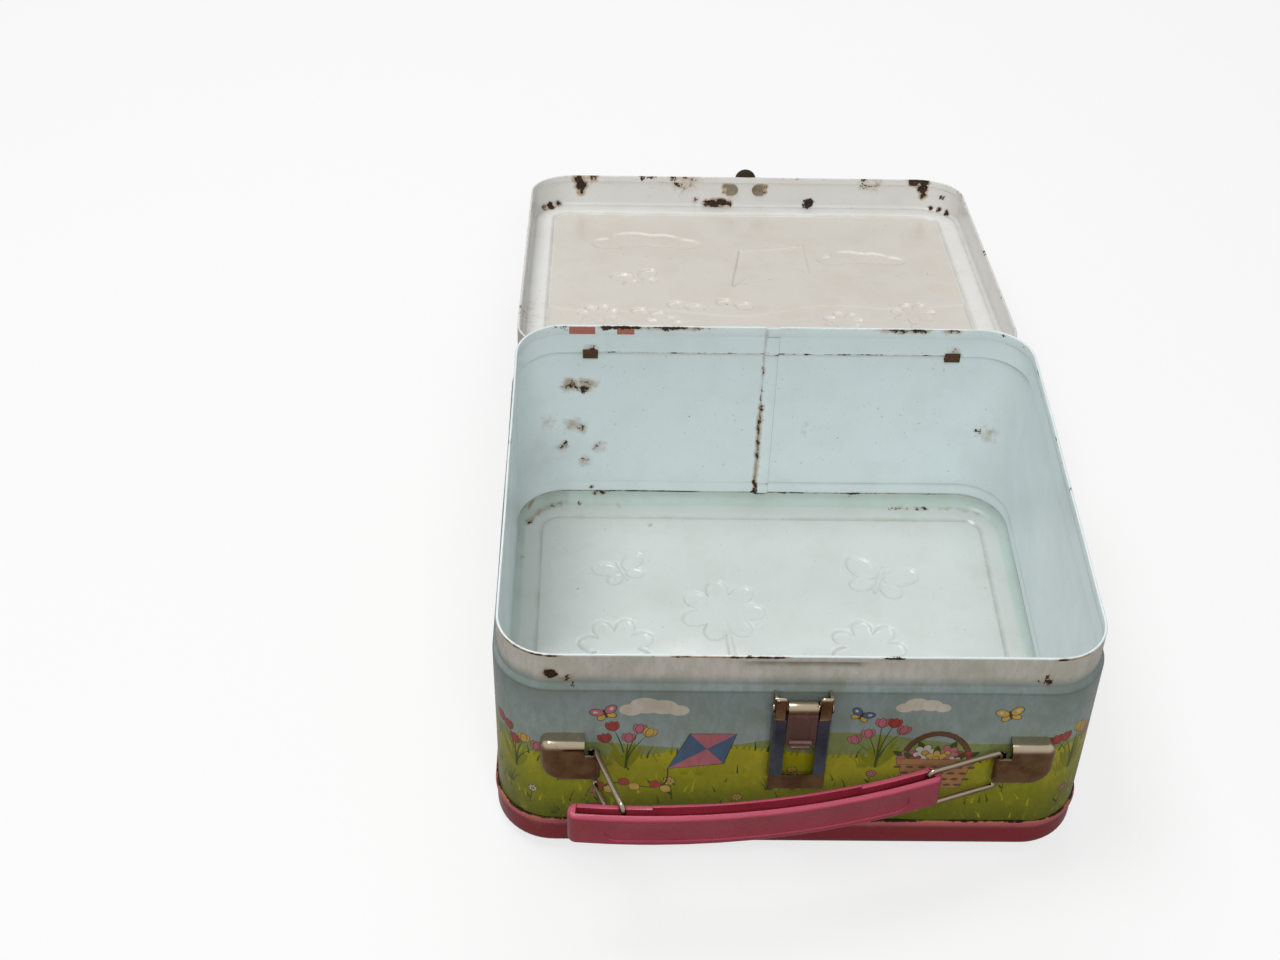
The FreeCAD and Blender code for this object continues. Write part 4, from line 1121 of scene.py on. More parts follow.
RIM_CHIPS = ((-98, -78, True, 0.5), (-43, -5, True, 0.44), (25, 32, True, 0.5), (80, 92, True, 0.52),
             (-68, -29, False, 0.3), (41, 62, False, 0.32), (66, 74, False, 0.26))
SEAM_RUST = ((-57, -27, False, 0.34), (52, 57, False, 0.2))
BAND_SPOTS = on_wall(HINGE_WALL, (
    (-80, 64, 5, 0.54), (-73, 64, 5, 0.58), (-89, 46, 6, 0.38), (-79, 44, 5, 0.46), (-75, 42, 4, 0.42),
    (-83, 32, 4, 0.46), (-68, 32, 5, 0.42), (-74, 24, 4, 0.46), (92, 43, 7, 0.44), (17, 42, 8, 0.28),
    (-72, 83, 5, 0.46), (72, 83, 5, 0.46), (-71.2, 10, 1.5, 0.6), (-SEAM_WIDTH / 2, 93, 1.5, 0.5),
    (SEAM_WIDTH / 2, 93, 1.5, 0.5))) + on_wall(FRONT_WALL, (
        (-BUMP_X - 3, BUMP_Z + 1, 3.2, 0.8), (-BUMP_X + 3, BUMP_Z - 1, 3.4, 0.5), (BUMP_X, BUMP_Z, 3.6, 0.5)))


def band_wear(points):
    """Wear of the paint on the band: rim, seam, bumps, tabs and the damp places of the hinge wall."""
    x, y, z = points.T
    outside = depth_in(points) < SHEET / 2
    hinge_side = y > DEPTH / 2 - HINGE_STRIP
    edge = np.where(y > 0, 0.26, 0.16) + stretches(x, y < 0, RIM_CHIPS)
    rim = edge * line_wear(z, RIM - 0.55, 0.55)
    damp_edge = np.where(z < SEAM_DAMP, 0.56, 0.34) * line_wear(x, -SEAM_WIDTH / 2, 1.0)
    seam = np.maximum(0.2 * line_wear(np.abs(x), SEAM_WIDTH / 2, 0.7), damp_edge)
    # The crease line under the step inside the hinge wall is partly rust and partly a painted shadow under
    # the step.
    crease = 0.44 * line_wear(z, STEP + STEP_RISE + 0.3, 0.4) * (np.abs(x) < BUMP_X - 8)
    hinge_wall = np.where(hinge_side, np.maximum(seam, crease), 0)
    foot = np.where(hinge_side, 0.44, 0.3) + stretches(x, y < 0, SEAM_RUST)
    inside = np.maximum(hinge_wall, foot * line_wear(z, BAND_FOOT + 0.2, 0.5))
    crevice = 1.1 * line_wear(z, PAN_TOP, 0.42)
    return np.maximum.reduce((rim, spots(points, BAND_SPOTS), np.where(outside, crevice, inside)))


print("the band is blistered in", len(BAND_SPOTS), "places")

# %% [markdown]
# ## Dirt and painted shade on the band
# A dark tint lies in the seam with the pan, which is dirt, and in a faint line low on the inside wall. On
# the outside it is painted shade under the step and under the top edge of the recess, and painted shade
# mixed with dirt round the latch; inside the back left corner it is a faint darkening. The zones on the
# outside of the neck must not show on the inside, so they are kept to the face that they belong to.

# %% Dirt and painted shade of the band
# Zones of dark tint on the front neck: painted shade round the latch, mixed with dirt.
BAND_DIRT_AND_SHADE = on_wall(FRONT_WALL, (
    (-10, 82.5, 4, 0.4), (11, 83, 4.5, 0.45), (0, 81, 5, 0.4), (-12, 70, 4, 0.25), (12, 70, 4, 0.25),
    (-60, 88, 9, 0.25), (48, 88, 12, 0.2)))
# A faint darkening inside the back left corner.
INNER_CORNER_DARK = ((-95, 86, 30, 16, 0.2),)


def neck_inset(z):
    """How far the step and the neck lie inside the printed wall."""
    return NECK_INSET * eased((z - PRINT_TOP) / STEP_SOFT)


def band_dirt_and_shade(points):
    x, y, z = points.T
    inward = depth_in(points)
    # A dark seam line at the foot inside, and a faint dark line low on the inside wall, stronger to the
    # right.
    fold_line = (0.1 + 0.3 * eased((x + 30) / 60)) * line_wear(z, BAND_FOOT + FOLD_LINE, 0.4)
    inside_lines = np.maximum(0.8 * line_wear(z, BAND_FOOT + 0.15, 0.5), fold_line)
    # Painted shade in a line under the step, on the outside.
    step_line = 0.7 * line_wear(z, PRINT_TOP - 0.4, 0.5)
    lines = np.where(inward < SHEET / 2, step_line, inside_lines)
    # Painted shade under the top edge of the recess, on the front.
    streak = np.where(x < -6, 0.75, 1.0) * line_wear(z, RIM - 3.7, 1.4)
    streak = np.where(y < 0, streak * eased((RECESS_HALF - np.abs(x)) / RECESS_SIDE), 0)
    outer_darkening = np.maximum(streak, spots(points, BAND_DIRT_AND_SHADE))
    outer_face = inward < neck_inset(z) + recess(x, y, z) + SHEET / 2
    return np.maximum(lines, np.where(outer_face, outer_darkening, spots(points, INNER_CORNER_DARK)))


print("the band is dirty in", len(BAND_DIRT_AND_SHADE), "places")

# %% [markdown]
# ## The band
# The printed outside is the cut-up picture wrapped on the ring, with extra rows of points where painted
# shade and wear change quickly. Step, neck, rolled rim, hem and the enamelled inside are rings. Primer shows
# where the hem is scraped at the hinge.

# %% Band
HEM = 4.5
SKY_FADE = 7.0
SEAM_ROWS = np.array((FOLD_LINE + 0.4, FOLD_LINE, FOLD_LINE - 0.4, 1.3, 0.75, 0.4, 0.0))
RECESS_ROWS = np.array((1.3, 1.05, 0.8, 0.6, 0.4, 0.2, 0, -0.2))
SCRAPED = ((-79.5, -69), (-61.5, -54.5))


def printed_wall(pressing):
    """The picture, cut up and wrapped round the band; ties keep it round at the corners."""
    crevice = (PAN_TOP - 0.4, PAN_TOP, PAN_TOP + 0.4, PAN_TOP + 0.9)
    under_step = (PRINT_TOP - 1.1, PRINT_TOP - 0.6, PRINT_TOP - 0.3)
    levels = np.sort(np.concatenate((np.linspace(BAND_FOOT, PRINT_TOP, 13), crevice, under_step)))
    stations = np.append(ring_s, HALF_ROUND)
    marks = [(s, z) for s in stations for z in levels]
    rows = len(levels)
    _, normal = along_wall(stations)
    bent = [index for index in range(len(stations)) if 0.01 < abs(normal[index, 0]) < 0.999]
    ties = [(index * rows, index * rows + rows - 1) for index in bent]
    border = rectangle(HALF_ROUND, BAND_FOOT, PRINT_TOP)
    places, triangles, colours = wall_picture().cut(border, marks, ties)
    flat, normal = along_wall(places[:, 0])
    level = np.column_stack((flat, places[:, 1]))
    flat = flat + normal * wall_ripple(level)[:, None]
    pressing.add(np.column_stack((flat, places[:, 1])), triangles, 0, colours)


def scrape_hem(band, start):
    """Primer shows on the faces of the hem, from a start, where the hinge side is scraped."""
    for index in range(start, len(band.faces)):
        x, y, z = np.mean([band.points[corner] for corner in band.faces[index]], axis=0)
        scraped = any(first < x < last for first, last in SCRAPED)
        if scraped and y > 0 and RIM - HEM + 0.5 < z < RIM - SHEET:
            band.finishes[index] = 2


def neck_rings(band):
    """Step and neck from outside, where the sky of the print fades into the neck's paint."""
    step = PRINT_TOP + np.linspace(0, 1, 9)[:-1] * STEP_SOFT
    neck = np.linspace(PRINT_TOP + STEP_SOFT, RIM - 4.0, 15)
    near_rim = np.linspace(RIM - 1.7, RIM - SHEET, 4)
    levels = np.concatenate((step, neck, RECESS_TOP - RECESS_ROWS, near_rim))
    rings = [band_ring(neck_inset(z), z, neck_press(z)) for z in levels]
    for below, above, z in zip(rings, rings[1:], levels):
        skin(band, [below, above], 0, mixed(SKY_HIGH, NECK_PAINT, eased((z - PRINT_TOP) / SKY_FADE)))


def make_band():
    band = Pressing()
    printed_wall(band)
    neck_rings(band)
    face, top = NECK_INSET + SHEET, STEP + STEP_RISE
    hem_foot = RIM - HEM
    hem = fold(face, RIM - SHEET, SHEET, 0, 180, 6)
    hem += [(face + SHEET, hem_foot + SHEET), (NECK_INSET + SHEET * 1.6, hem_foot), (face, hem_foot)]
    hem_start = len(band.faces)
    skin(band, [band_ring(inset, z, seam_swell(0.5) + neck_press(z)) for inset, z in hem], 1)
    scrape_hem(band, hem_start)
    neck_inside = np.append(np.linspace(hem_foot, top + 1, 7), top + np.array((0.6, 0.3, 0)))
    wall = [(face, z) for z in neck_inside]
    wall += [(face - 0.15, top - 0.35), (SHEET + 0.15, STEP - 0.1), (SHEET, STEP - 0.4)]
    wall_rows = np.append(np.linspace(STEP - 2.5, BAND_FOOT + 2.2, 33), BAND_FOOT + SEAM_ROWS)
    wall += [(SHEET, z) for z in np.sort(wall_rows)[::-1]]
    rings = [band_ring(inset, z, neck_press(z) + seam_swell(1.0)) for inset, z in wall]
    skin(band, rings, 1)
    skin(band, [rings[-1], band_ring(0.0, BAND_FOOT)], 1)
    piece = band.make("tin_band", [printed_tin, aqua_enamel, brick_primer], band_wear, band_dirt_and_shade)
    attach(piece, "box")
    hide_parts("body_band")
    return piece


make_band()

# %% [markdown]
# ## Embossed panels
# Base pan and lid are both drawn pans: a wall, a bend, a flat border and a centre panel that stands out
# a little further. The picture on the panel is embossed, so it shows from inside as soft relief in plain
# enamel. The same triangles make both sides of the sheet, moved apart by its thickness, and the distance
# from each outline gives the height of the embossing.

# %% Relief
PANEL_GRID = 1.6
PANEL_MARGIN = 0.8


def inside_distance(points, shape):
    """Distance of each point from a shape's outline, positive inside it."""
    nearest = np.full(len(points), np.inf)
    inside = np.zeros(len(points), bool)
    for first, last in zip(shape, np.roll(shape, -1, axis=0)):
        run = last - first
        share = np.clip(((points - first) @ run) / max(run @ run, 1e-9), 0, 1)
        nearest = np.minimum(nearest, np.linalg.norm(points - first - share[:, None] * run, axis=1))
        crosses = (first[1] > points[:, 1]) != (last[1] > points[:, 1])
        rise = np.where(crosses, (points[:, 1] - first[1]) / np.where(run[1] == 0, 1e-9, run[1]), 0)
        inside ^= crosses & (points[:, 0] < first[0] + rise * run[0])
    return np.where(inside, nearest, -nearest)


def embossing(points, picture):
    """How far the panel is pressed outwards at each point, as a share of the full relief."""
    pressed = np.zeros(len(points))
    for shape, raised in zip(picture.shapes, picture.raised):
        if raised:
            share = inside_distance(points, shape) / EMBOSS_SOFT + 0.5
            pressed = np.maximum(pressed, raised * eased(share))
    return pressed


def panel_marks(width, depth, corner):
    """An even field of points inside a rounded panel."""
    far_x, far_y = width / 2 - PANEL_MARGIN, depth / 2 - PANEL_MARGIN
    rows = []
    for row, y in enumerate(np.arange(-far_y, far_y, PANEL_GRID * 0.87)):
        x = np.arange(-far_x, far_x, PANEL_GRID) + PANEL_GRID / 2 * (row % 2)
        rows.append(np.column_stack((x, np.full(len(x), y))))
    field = np.vstack(rows)
    reach = np.abs(field) - (width / 2 - corner, depth / 2 - corner)
    away = np.linalg.norm(np.maximum(reach, 0), axis=1)
    return field[away < corner - PANEL_MARGIN]


print("panel points every %.1f mm" % PANEL_GRID)

# %% [markdown]
# ## Drawn pans
# One function makes either pan with its mouth up and the outer face of its centre panel at zero. The
# embossing may only reach that plane, so the panel itself lies one relief height further in. The walls
# differ: the base pan has a groove and a bead where it is crimped to the band, the lid a turned-in hem.

# %% Drawn pan
PANEL_RISE = 1.8
PANEL_CORNER = 9.0
RELIEF = 0.9
BEAD_HEIGHT = 2.6
BEAD_PROUD = 0.7
GROOVE = 0.3
LID_HEM = 3.0
SLOPE_START = 0.5
SLOPE_RUN = 1.1
CREASE = 0.12
CREASE_DROP = 0.14
BESIDE_CREASE = 0.6


def beaded_wall(level, bend_top, top):
    """Rings of the base pan's wall: outside up to the bead, over the bead, and down inside."""
    foot = top - BEAD_HEIGHT
    half = BEAD_HEIGHT / 2
    outside = [level(0, foot - 1.2), level(0.04, foot - 0.6), level(GROOVE, foot - 0.4),
               level(GROOVE, foot - 0.15)]
    bead = [level(0.12 - BEAD_PROUD * math.sin(a), foot + half - half * math.cos(a))
            for a in np.linspace(0.25, 2.6, 8)]
    bead += [level(SHEET * 0.4, top), level(SHEET, top - 0.1)]
    inside = [level(SHEET, z) for z in (top - 0.1, BAND_FOOT - 0.4, BAND_FOOT - 0.9, BAND_FOOT - 1.4)]
    return outside, bead, inside


def hemmed_wall(level, bend_top, top):
    """Rings of the lid's wall: outside, no bead, and over the hem and down inside."""
    foot = top - LID_HEM
    outside = [level(0, z) for z in np.append(np.linspace(bend_top + 1, top - 2, 6), top - SHEET)]
    inside = [level(inset, z) for inset, z in fold(SHEET, top - SHEET, SHEET, 0, 180, 6)]
    inside += [level(2 * SHEET, foot + SHEET / 2), level(SHEET * 1.5, foot), level(SHEET, foot)]
    inside += [level(SHEET, z) for z in np.linspace(foot - 1, bend_top + 0.6, 8)]
    return outside, [], inside


def panel_slope(panel_inset):
    """The step round a centre panel from outside, as inset, height and corner radius, with soft creases."""
    foot = panel_inset + SLOPE_START
    edge = foot + SLOPE_RUN
    profile = ((foot - BESIDE_CREASE, PANEL_RISE), (foot - CREASE, PANEL_RISE),
               (foot + CREASE, PANEL_RISE - CREASE_DROP), (edge - CREASE, RELIEF + CREASE_DROP),
               (edge + CREASE, RELIEF), (edge + BESIDE_CREASE, RELIEF))
    return [(inset, z, PANEL_CORNER + panel_inset - inset) for inset, z in profile]


def drawn_pan(picture, width, depth, corner, height, bend, panel_inset, make_wall, tints):
    """A pan: finish 0 is outside, 1 the wall inside, 2 the picture, 3 the panel inside, 4 its border."""
    pan = Pressing()

    def level(inset, z, rounding=None):
        """A ring of the pan; its corners follow the wall's if they aren't given."""
        flat = ring(width - 2 * inset, depth - 2 * inset, corner - inset if rounding is None else rounding)
        return np.column_stack((flat, np.full(len(flat), z)))

    bend_top = PANEL_RISE + bend
    slope = panel_slope(panel_inset)
    wall, bead, inside = make_wall(level, bend_top, PANEL_RISE + height)
    outside = [level(*point) for point in slope[::-1]]
    outside += [level(inset, z) for inset, z in fold(bend, bend_top, bend, -90, 0, 8)] + wall
    inside += [level(inset, z) for inset, z in fold(bend, bend_top, bend - SHEET, 0, -90, 8)]
    border = inside[-1:] + [level(bend + further, PANEL_RISE + SHEET) for further in (1.0, 2.0, 3.2)]
    border += [level(inset, z + SHEET, rounding) for inset, z, rounding in slope]
    skin(pan, outside, 0, tints[0])
    skin(pan, outside[-1:] + bead, 0, tints[1])
    skin(pan, inside, 1)
    skin(pan, border, 4)
    panel_edge = outside[0][:, :2]
    marks = panel_marks(*np.ptp(panel_edge, axis=0), slope[-1][2])
    places, triangles, colours = picture.cut(panel_edge, marks, [])
    pressed = RELIEF * (1 - embossing(places, picture))
    facing_down = [triangle[::-1] for triangle in triangles]
    pan.add(np.column_stack((places, pressed)), facing_down, 2, [colour[::-1] for colour in colours])
    pan.add(np.column_stack((places, pressed + SHEET)), triangles, 3)
    return pan


def panel_step_shade(points, width, depth, inset):
    """Painted shade along both edges of the step round a centre panel."""
    foot = inset + SLOPE_START
    inward = depth_in(points, width - 2 * foot, depth - 2 * foot, PANEL_CORNER - SLOPE_START)
    return np.maximum(0.44 * line_wear(inward, SLOPE_RUN, 0.4), 0.2 * line_wear(inward, 0, 0.3))


print("a panel's step falls %.1f mm over %.1f mm" % (PANEL_RISE - RELIEF, SLOPE_RUN))

# %% [markdown]
# ## The base pan
# The underside carries a posy of large flowers in a pink frame. From inside, the same posy is the relief
# on the floor of the box.

# %% Base pan
PAN_LAP = 0.5
PAN_BEND = 4.0
PAN_PANEL_INSET = 9.2
PAN_SIZE = (WIDTH + 2 * PAN_LAP, DEPTH + 2 * PAN_LAP)
PAN_CORNER = CORNER + PAN_LAP
GROOVE_Z = PAN_TOP - BEAD_HEIGHT - 0.3
PANEL_REACH = 120


def base_picture():
    picture = Picture()
    picture.add(rectangle(PANEL_REACH, -PANEL_REACH, PANEL_REACH), SKY_LOW)
    ground = ((6, 1.5, 0.1), (3, 4, 0.3))
    hill(picture, -PANEL_REACH, PANEL_REACH, -38, ground, -PANEL_REACH, MEADOW, 0.55)
    for x, y, height, lean, radius, colour in (
            (-52, -52, 58, -8, 15, ROSE), (-12, -56, 82, -6, 17, PAPER), (30, -54, 60, 8, 15, CORAL),
            (60, -56, 38, 8, 11, SUN)):
        stem_flower(picture, x, y, height, lean, radius, colour, 1.0)
    butterfly(picture, 46, 44, 30, DENIM, -18, 1.0)
    butterfly(picture, -58, 48, 22, ROSE, 24, 1.0)
    return picture


BEND_RADIUS = PAN_CORNER - PAN_BEND
CORNER_STAIN = tuple((BEND_RADIUS * math.cos(turn) - WIDTH / 2 + CORNER,
                      BEND_RADIUS * math.sin(turn) + DEPTH / 2 - CORNER, 2.4, 2.6, 0.40)
                     for turn in np.radians(np.arange(98, 166, 7)))
BACK_STAIN = tuple((x, DEPTH / 2 + PAN_LAP - PAN_BEND, 2.3, 2.2, 0.33) for x in np.arange(56, 82, 2.0))
PAN_SPOTS = CORNER_STAIN + BACK_STAIN + (
    (-95.3, 83.4, 6.2, 1.9, 0.66), (-96.4, 82.2, 5, 1.7, 0.62), (-84.5, 87, 3, 1.6, 0.60),
    (-98.6, 54.5, 3.2, 1.6, 0.52), (-98.8, 48.5, 3.4, 1.6, 0.50), (-70, 89, 6.2, 2.0, 0.62),
    (-66, 89, 6.2, 2.2, 0.64), (-76, 87.5, 2.6, 1.5, 0.54), (-59.4, 86.4, 2.6, 3.0, 0.38),
    (-46, 75.4, 1.4, 1.5, 0.56), (84, 86, 2.3, 2.4, 0.36), (87.5, 85.4, 2.3, 2.4, 0.37),
    (91, 83.6, 2.3, 2.4, 0.35), (95, 79, 2.3, 2.2, 0.32), (86.5, 89, 6.2, 1.3, 0.52),
    (87, 88, 3.4, 1.3, 0.50), (88.7, 40, 2.3, 1.4, 0.52), (88, -84, 14, 8, 0.34), (-86, -86, 14, 8, 0.36))


def pan_wear(points):
    """Wear of the pan's paint: the crimped edge, the groove under it, the floor seam and damp corners."""
    z = points[:, 2]
    inner = depth_in(points, *PAN_SIZE, PAN_CORNER) > SHEET / 2
    edge = np.maximum(0.62 * line_wear(z, PAN_TOP, 0.4), 0.24 * line_wear(z, GROOVE_Z, 0.4))
    seam = np.where(inner, 0.3 * line_wear(z, BAND_FOOT - 0.4, 0.6), 0)
    return np.maximum.reduce((edge, seam, spots(points, PAN_SPOTS)))


def pan_painted_shade(points):
    """Painted shade low on the wall and in the bend, along the panel's step and in the groove under the bead.
    """
    x, y, z = points.T
    inward = depth_in(points, *PAN_SIZE, PAN_CORNER)
    # Painted shade in the bend and low on the wall, strongest on the left.
    left = 0.10 + 0.26 * eased((y + 30) / 100)
    shaded_side = np.where(x < -80, left, np.where(y > 80, 0.13, 0.14))
    bend = shaded_side * eased((PAN_BEND + 0.4 - inward) / 1.8) * (z < BAND_FOOT + 0.5)
    floor = np.maximum(bend, panel_step_shade(points, *PAN_SIZE, PAN_PANEL_INSET))
    # Outside, painted shade in the groove under the bead.
    return np.where(inward > SHEET / 2, floor, 0.6 * line_wear(z, GROOVE_Z, 0.4))


def make_base_pan():
    # The pan's wall pink is painted shade and its bead's lighter pink a painted highlight.
    pan = drawn_pan(base_picture(), *PAN_SIZE, PAN_CORNER, PAN_TOP - PANEL_RISE, PAN_BEND, PAN_PANEL_INSET,
                    beaded_wall, (ROSE_WALL_SHADED, ROSE_BEAD_LIT))
    # The wall inside and the bend take the darker enamel as painted shade.
    finishes = [pink_enamel, bend_shade_enamel, printed_tin, floor_enamel, floor_enamel]
    piece = pan.make("floor_pan", finishes, pan_wear, pan_painted_shade)
    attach(piece, "box")
    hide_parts("base_pan")
    return piece


make_base_pan()

# %% [markdown]
# ## The lid
# The lid is made closed, where its sizes are easy to read, and then swung back on the hinge to the open
# stop, the same way as the frame's own lid. Its picture is a kite over hills, framed in cream.

# %% Lid
LID_EDGE = 81.8
LID_DEPTH = 15.15
LID_BEND = 2.0
LID_PANEL_INSET = 9.0
LID_OPEN = 190.0
LID_RIM = LID_DEPTH + PANEL_RISE
LID_FAR = DEPTH / 2 - SHEET


def lid_picture():
    picture = Picture()
    picture.add(rectangle(PANEL_REACH, -PANEL_REACH, PANEL_REACH), SKY_HIGH)
    cloud(picture, -48, 46, 15, 0.7)
    cloud(picture, 50, 30, 12, 0.7)
    for level, waves, colour, raised in ((-22, ((5, 1.2, 0.3), (3, 3.5, 0.1)), FAR_HILL, 0.3),
                                         (-40, ((5, 1.6, 0.6), (2, 5, 0.4)), MEADOW, 0.5)):
        hill(picture, -PANEL_REACH, PANEL_REACH, level, waves, -PANEL_REACH, colour, raised)
    kite(picture, 10, 28, 24, -38, 1.0)
    for x, height, lean, radius, colour in (
            (-66, 34, -3, 9, ROSE), (-44, 26, 3, 8, PAPER), (40, 30, -4, 9, CORAL), (64, 38, 3, 10, ROSE)):
        stem_flower(picture, x, -62, height, lean, radius, colour, 1.0)
    butterfly(picture, -52, 8, 22, DENIM, 20, 1.0)
    return picture


def under_rim(y, places):
    """Zones on a wall of the lid, given as place along it, distance from the rim, radius and strength."""
    return on_wall(y, [(x, LID_RIM - down, radius, strength) for x, down, radius, strength in places])


LID_SPOTS = under_rim(LID_FAR, (
    (-79.5, 1.5, 3.8, 0.96), (-78.5, 5, 3.6, 0.92), (-78.5, 8.5, 2.6, 0.82), (-72.5, 0.5, 3.2, 0.76),
    (-24, 13, 5.0, 0.38), (-18, 13.2, 2.8, 0.66), (-14.5, 13, 3.0, 0.84), (-11, 13, 3.0, 0.86),
    (-7.5, 13.4, 2.4, 0.68), (-31, 3, 5, 0.36), (-9.4, 4.6, 1.6, 0.9), (-9.4, 7.6, 1.6, 0.9),
    (9.4, 4.6, 1.6, 0.9), (9.4, 7.6, 1.6, 0.9), (31, 13, 2.2, 0.76), (31, 13, 4.5, 0.34),
    (81, 1.0, 3.2, 0.90)))
LID_SPOTS += under_rim(89.2, ((85.5, 1.2, 3.2, 0.94), (85.5, 4.5, 3.0, 0.92)))
LID_SPOTS += under_rim(DEPTH / 2, ((-30, 0, 14, 0.38), (60, 0, 10, 0.40)))
LID_SPOTS += (
    (-93, 84.5, 3, 2.8, 0.74), (-96, 82, 3, 2.4, 0.70), (-89.5, 87.5, 3, 2.2, 0.62),
    (86, 89, LID_RIM - 8, 2.4, 0.84), (90, 88, 3.4, 1.9, 0.72), (94, 85.5, 3.4, 1.9, 0.70),
    (97, 82, 3, 2.3, 0.74), (94.5, 85, 10, 1.8, 0.56), (-101, -30, LID_RIM - 6, 26, 0.30),
    (97, 70, LID_RIM - 3, 5, 0.40))


def lid_wear(points):
    return np.maximum(0.24 * line_wear(points[:, 2], LID_RIM - 0.3, 0.8), spots(points, LID_SPOTS))


def lid_painted_shade(points):
    """Painted shade along the lid's bend and the step of its panel."""
    bend = 0.3 * line_wear(depth_in(points), LID_BEND, 0.7) * (points[:, 2] < PANEL_RISE + LID_BEND)
    return np.maximum(bend, 0.7 * panel_step_shade(points, WIDTH, DEPTH, LID_PANEL_INSET))


def swing(y, z, degrees):
    """A place turned about the lid's hinge."""
    c, s = math.cos(math.radians(degrees)), math.sin(math.radians(degrees))
    y, z = y - HINGE_Y, z - HINGE_Z
    return HINGE_Y + c * y - s * z, HINGE_Z + s * y + c * z


def swung_open(points):
    """From the pan's own frame, mouth up, to closed on the box, then open on the hinge."""
    x, y, z = points.T
    return np.column_stack((x, *swing(-y, LID_EDGE + LID_RIM - z, -LID_OPEN)))


def make_lid():
    lid = drawn_pan(lid_picture(), WIDTH, DEPTH, CORNER, LID_DEPTH, LID_BEND, LID_PANEL_INSET, hemmed_wall,
                    (WHITE, WHITE))
    finishes = [cream_enamel, cool_enamel, printed_tin, warm_enamel, cool_enamel]
    piece = lid.make("tin_lid", finishes, lid_wear, lid_painted_shade, swung_open)
    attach(piece, "lid")
    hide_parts("lid_shell")
    return piece


make_lid()

# %% [markdown]
# ## Small hardware
# Ears, latch, keeper, hinge and wire come from the frame with the right shape, but pressed metal has no
# razor edges. Each but the wire is copied, its flat faces are joined up again, and every corner gets a small
# round, so that the edges catch the light. The copy then stands for the frame's piece; the wire keeps the
# frame's own mesh and only takes its metal.

# %% Rounded hardware
FLAT = math.radians(1.5)
CORNERED = math.radians(28)
WELD = 0.002


def cornered(edge):
    return len(edge.link_faces) == 2 and edge.calc_face_angle() > CORNERED


def cut_level(shape, level):
    """Cuts all faces of a mesh at a height, so that two metals can meet there."""
    everything = shape.verts[:] + shape.edges[:] + shape.faces[:]
    bmesh.ops.bisect_plane(shape, geom=everything, plane_co=(0, 0, level * MM), plane_no=(0, 0, 1))


def rounded_copy(name, body, materials, radius, zone=None, levels=()):
    """A copy of a frame node with rounded corners; zone picks the second material by place."""
    shape = bmesh.new()
    shape.from_mesh(frame["nodes"][name].data)
    bmesh.ops.remove_doubles(shape, verts=shape.verts, dist=WELD * MM)
    bmesh.ops.dissolve_limit(shape, angle_limit=FLAT, verts=shape.verts, edges=shape.edges)
    corners = [edge for edge in shape.edges if cornered(edge)]
    bmesh.ops.bevel(shape, geom=corners, offset=radius * MM, segments=2, profile=0.5, affect="EDGES",
                    clamp_overlap=True)
    for level in levels:
        cut_level(shape, level)
    bmesh.ops.triangulate(shape, faces=shape.faces)
    mesh = bpy.data.meshes.new("worn_" + name)
    shape.to_mesh(mesh)
    shape.free()
    for material in materials:
        mesh.materials.append(material)
    if zone:
        for polygon in mesh.polygons:
            polygon.material_index = int(zone(polygon.center / MM))
    mesh.shade_smooth()
    mesh.set_sharp_from_angle(angle=SHARP)
    piece = bpy.data.objects.new("worn_" + name, mesh)
    bpy.context.scene.collection.objects.link(piece)
    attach(piece, body)
    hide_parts(name)
    print(piece.name, len(mesh.polygons), "faces")
    return piece


def clenched(place):
    """Whether a place on the open lid's keeper lies inside the lid's wall, where its ends are folded."""
    return swing(place.y, place.z, LID_OPEN)[0] > SHEET / 2 - DEPTH / 2


def between(low, high):
    """A test for places that lie between two levels."""
    return lambda place: low < place.z < high


# Between these levels the rails take the painted blue reflection; the tongue below the hasp's roll takes its
# partly painted pink reflection.
RAIL_LEVELS = (46.4, 73.2)
TONGUE_LEVELS = (0.0, pivot["hasp_swing"][2] - 0.8)
rounded_copy("latch_frame", "box", [nickel, rail_blue_reflection], 0.22, between(*RAIL_LEVELS),
             RAIL_LEVELS)
rounded_copy("latch_hasp", "hasp", [nickel, tongue_tarnish_and_reflection], 0.2, between(*TONGUE_LEVELS),
             TONGUE_LEVELS)
for name, radius in (("latch_pin", 0.1), ("handle_ear_left", 0.2), ("handle_ear_right", 0.2)):
    rounded_copy(name, "box", [nickel], radius)
rounded_copy("lid_keeper", "lid", [dark_steel, clenched_steel], 0.18, clenched)
for name, body, radius in (("body_hinge_leaf", "box", 0.12), ("lid_hinge_leaf", "lid", 0.12),
                           ("hinge_pin", "box", 0.08)):
    rounded_copy(name, body, [rusty_steel], radius)
for name in ("handle_bail_left", "handle_bail_right"):
    frame["nodes"][name].data.materials.clear()
    frame["nodes"][name].data.materials.append(wire_nickel)
rounded_copy("handle_grip", "grip", [pink_plastic], 0.3)

# %% [markdown]
# ## Floor and light
# The picture has a plain white ground and soft light from three sides: above, high in front and high
# behind. So the inside of the box is bright and the printed front lies in gentle shade. The lamp in front
# only fills and leaves no mirror image. The floor shows white to the camera and dim in reflections, and
# keeps a faint shadow of the box.

# %% Floor and sky
FLOOR_REACH = 4.0
SHADOW_DEPTH = 0.3
AMBIENT = 0.2
SKY_MIRRORED = 0.55
FLOOR_MIRRORED = 0.05
FLOOR_SHADED = (0.42, 0.41, 0.40)
FLOOR_PALE = (0.92, 0.92, 0.92)


def brightness_seen(wires, mirrored):
    """One to the camera, less in reflections and nothing for light that spreads."""
    rays = wires.node("LightPath").outputs
    direct = wires.larger(rays["Is Camera Ray"], rays["Is Transmission Ray"])
    return wires.larger(direct, wires.times(rays["Is Glossy Ray"], mirrored))


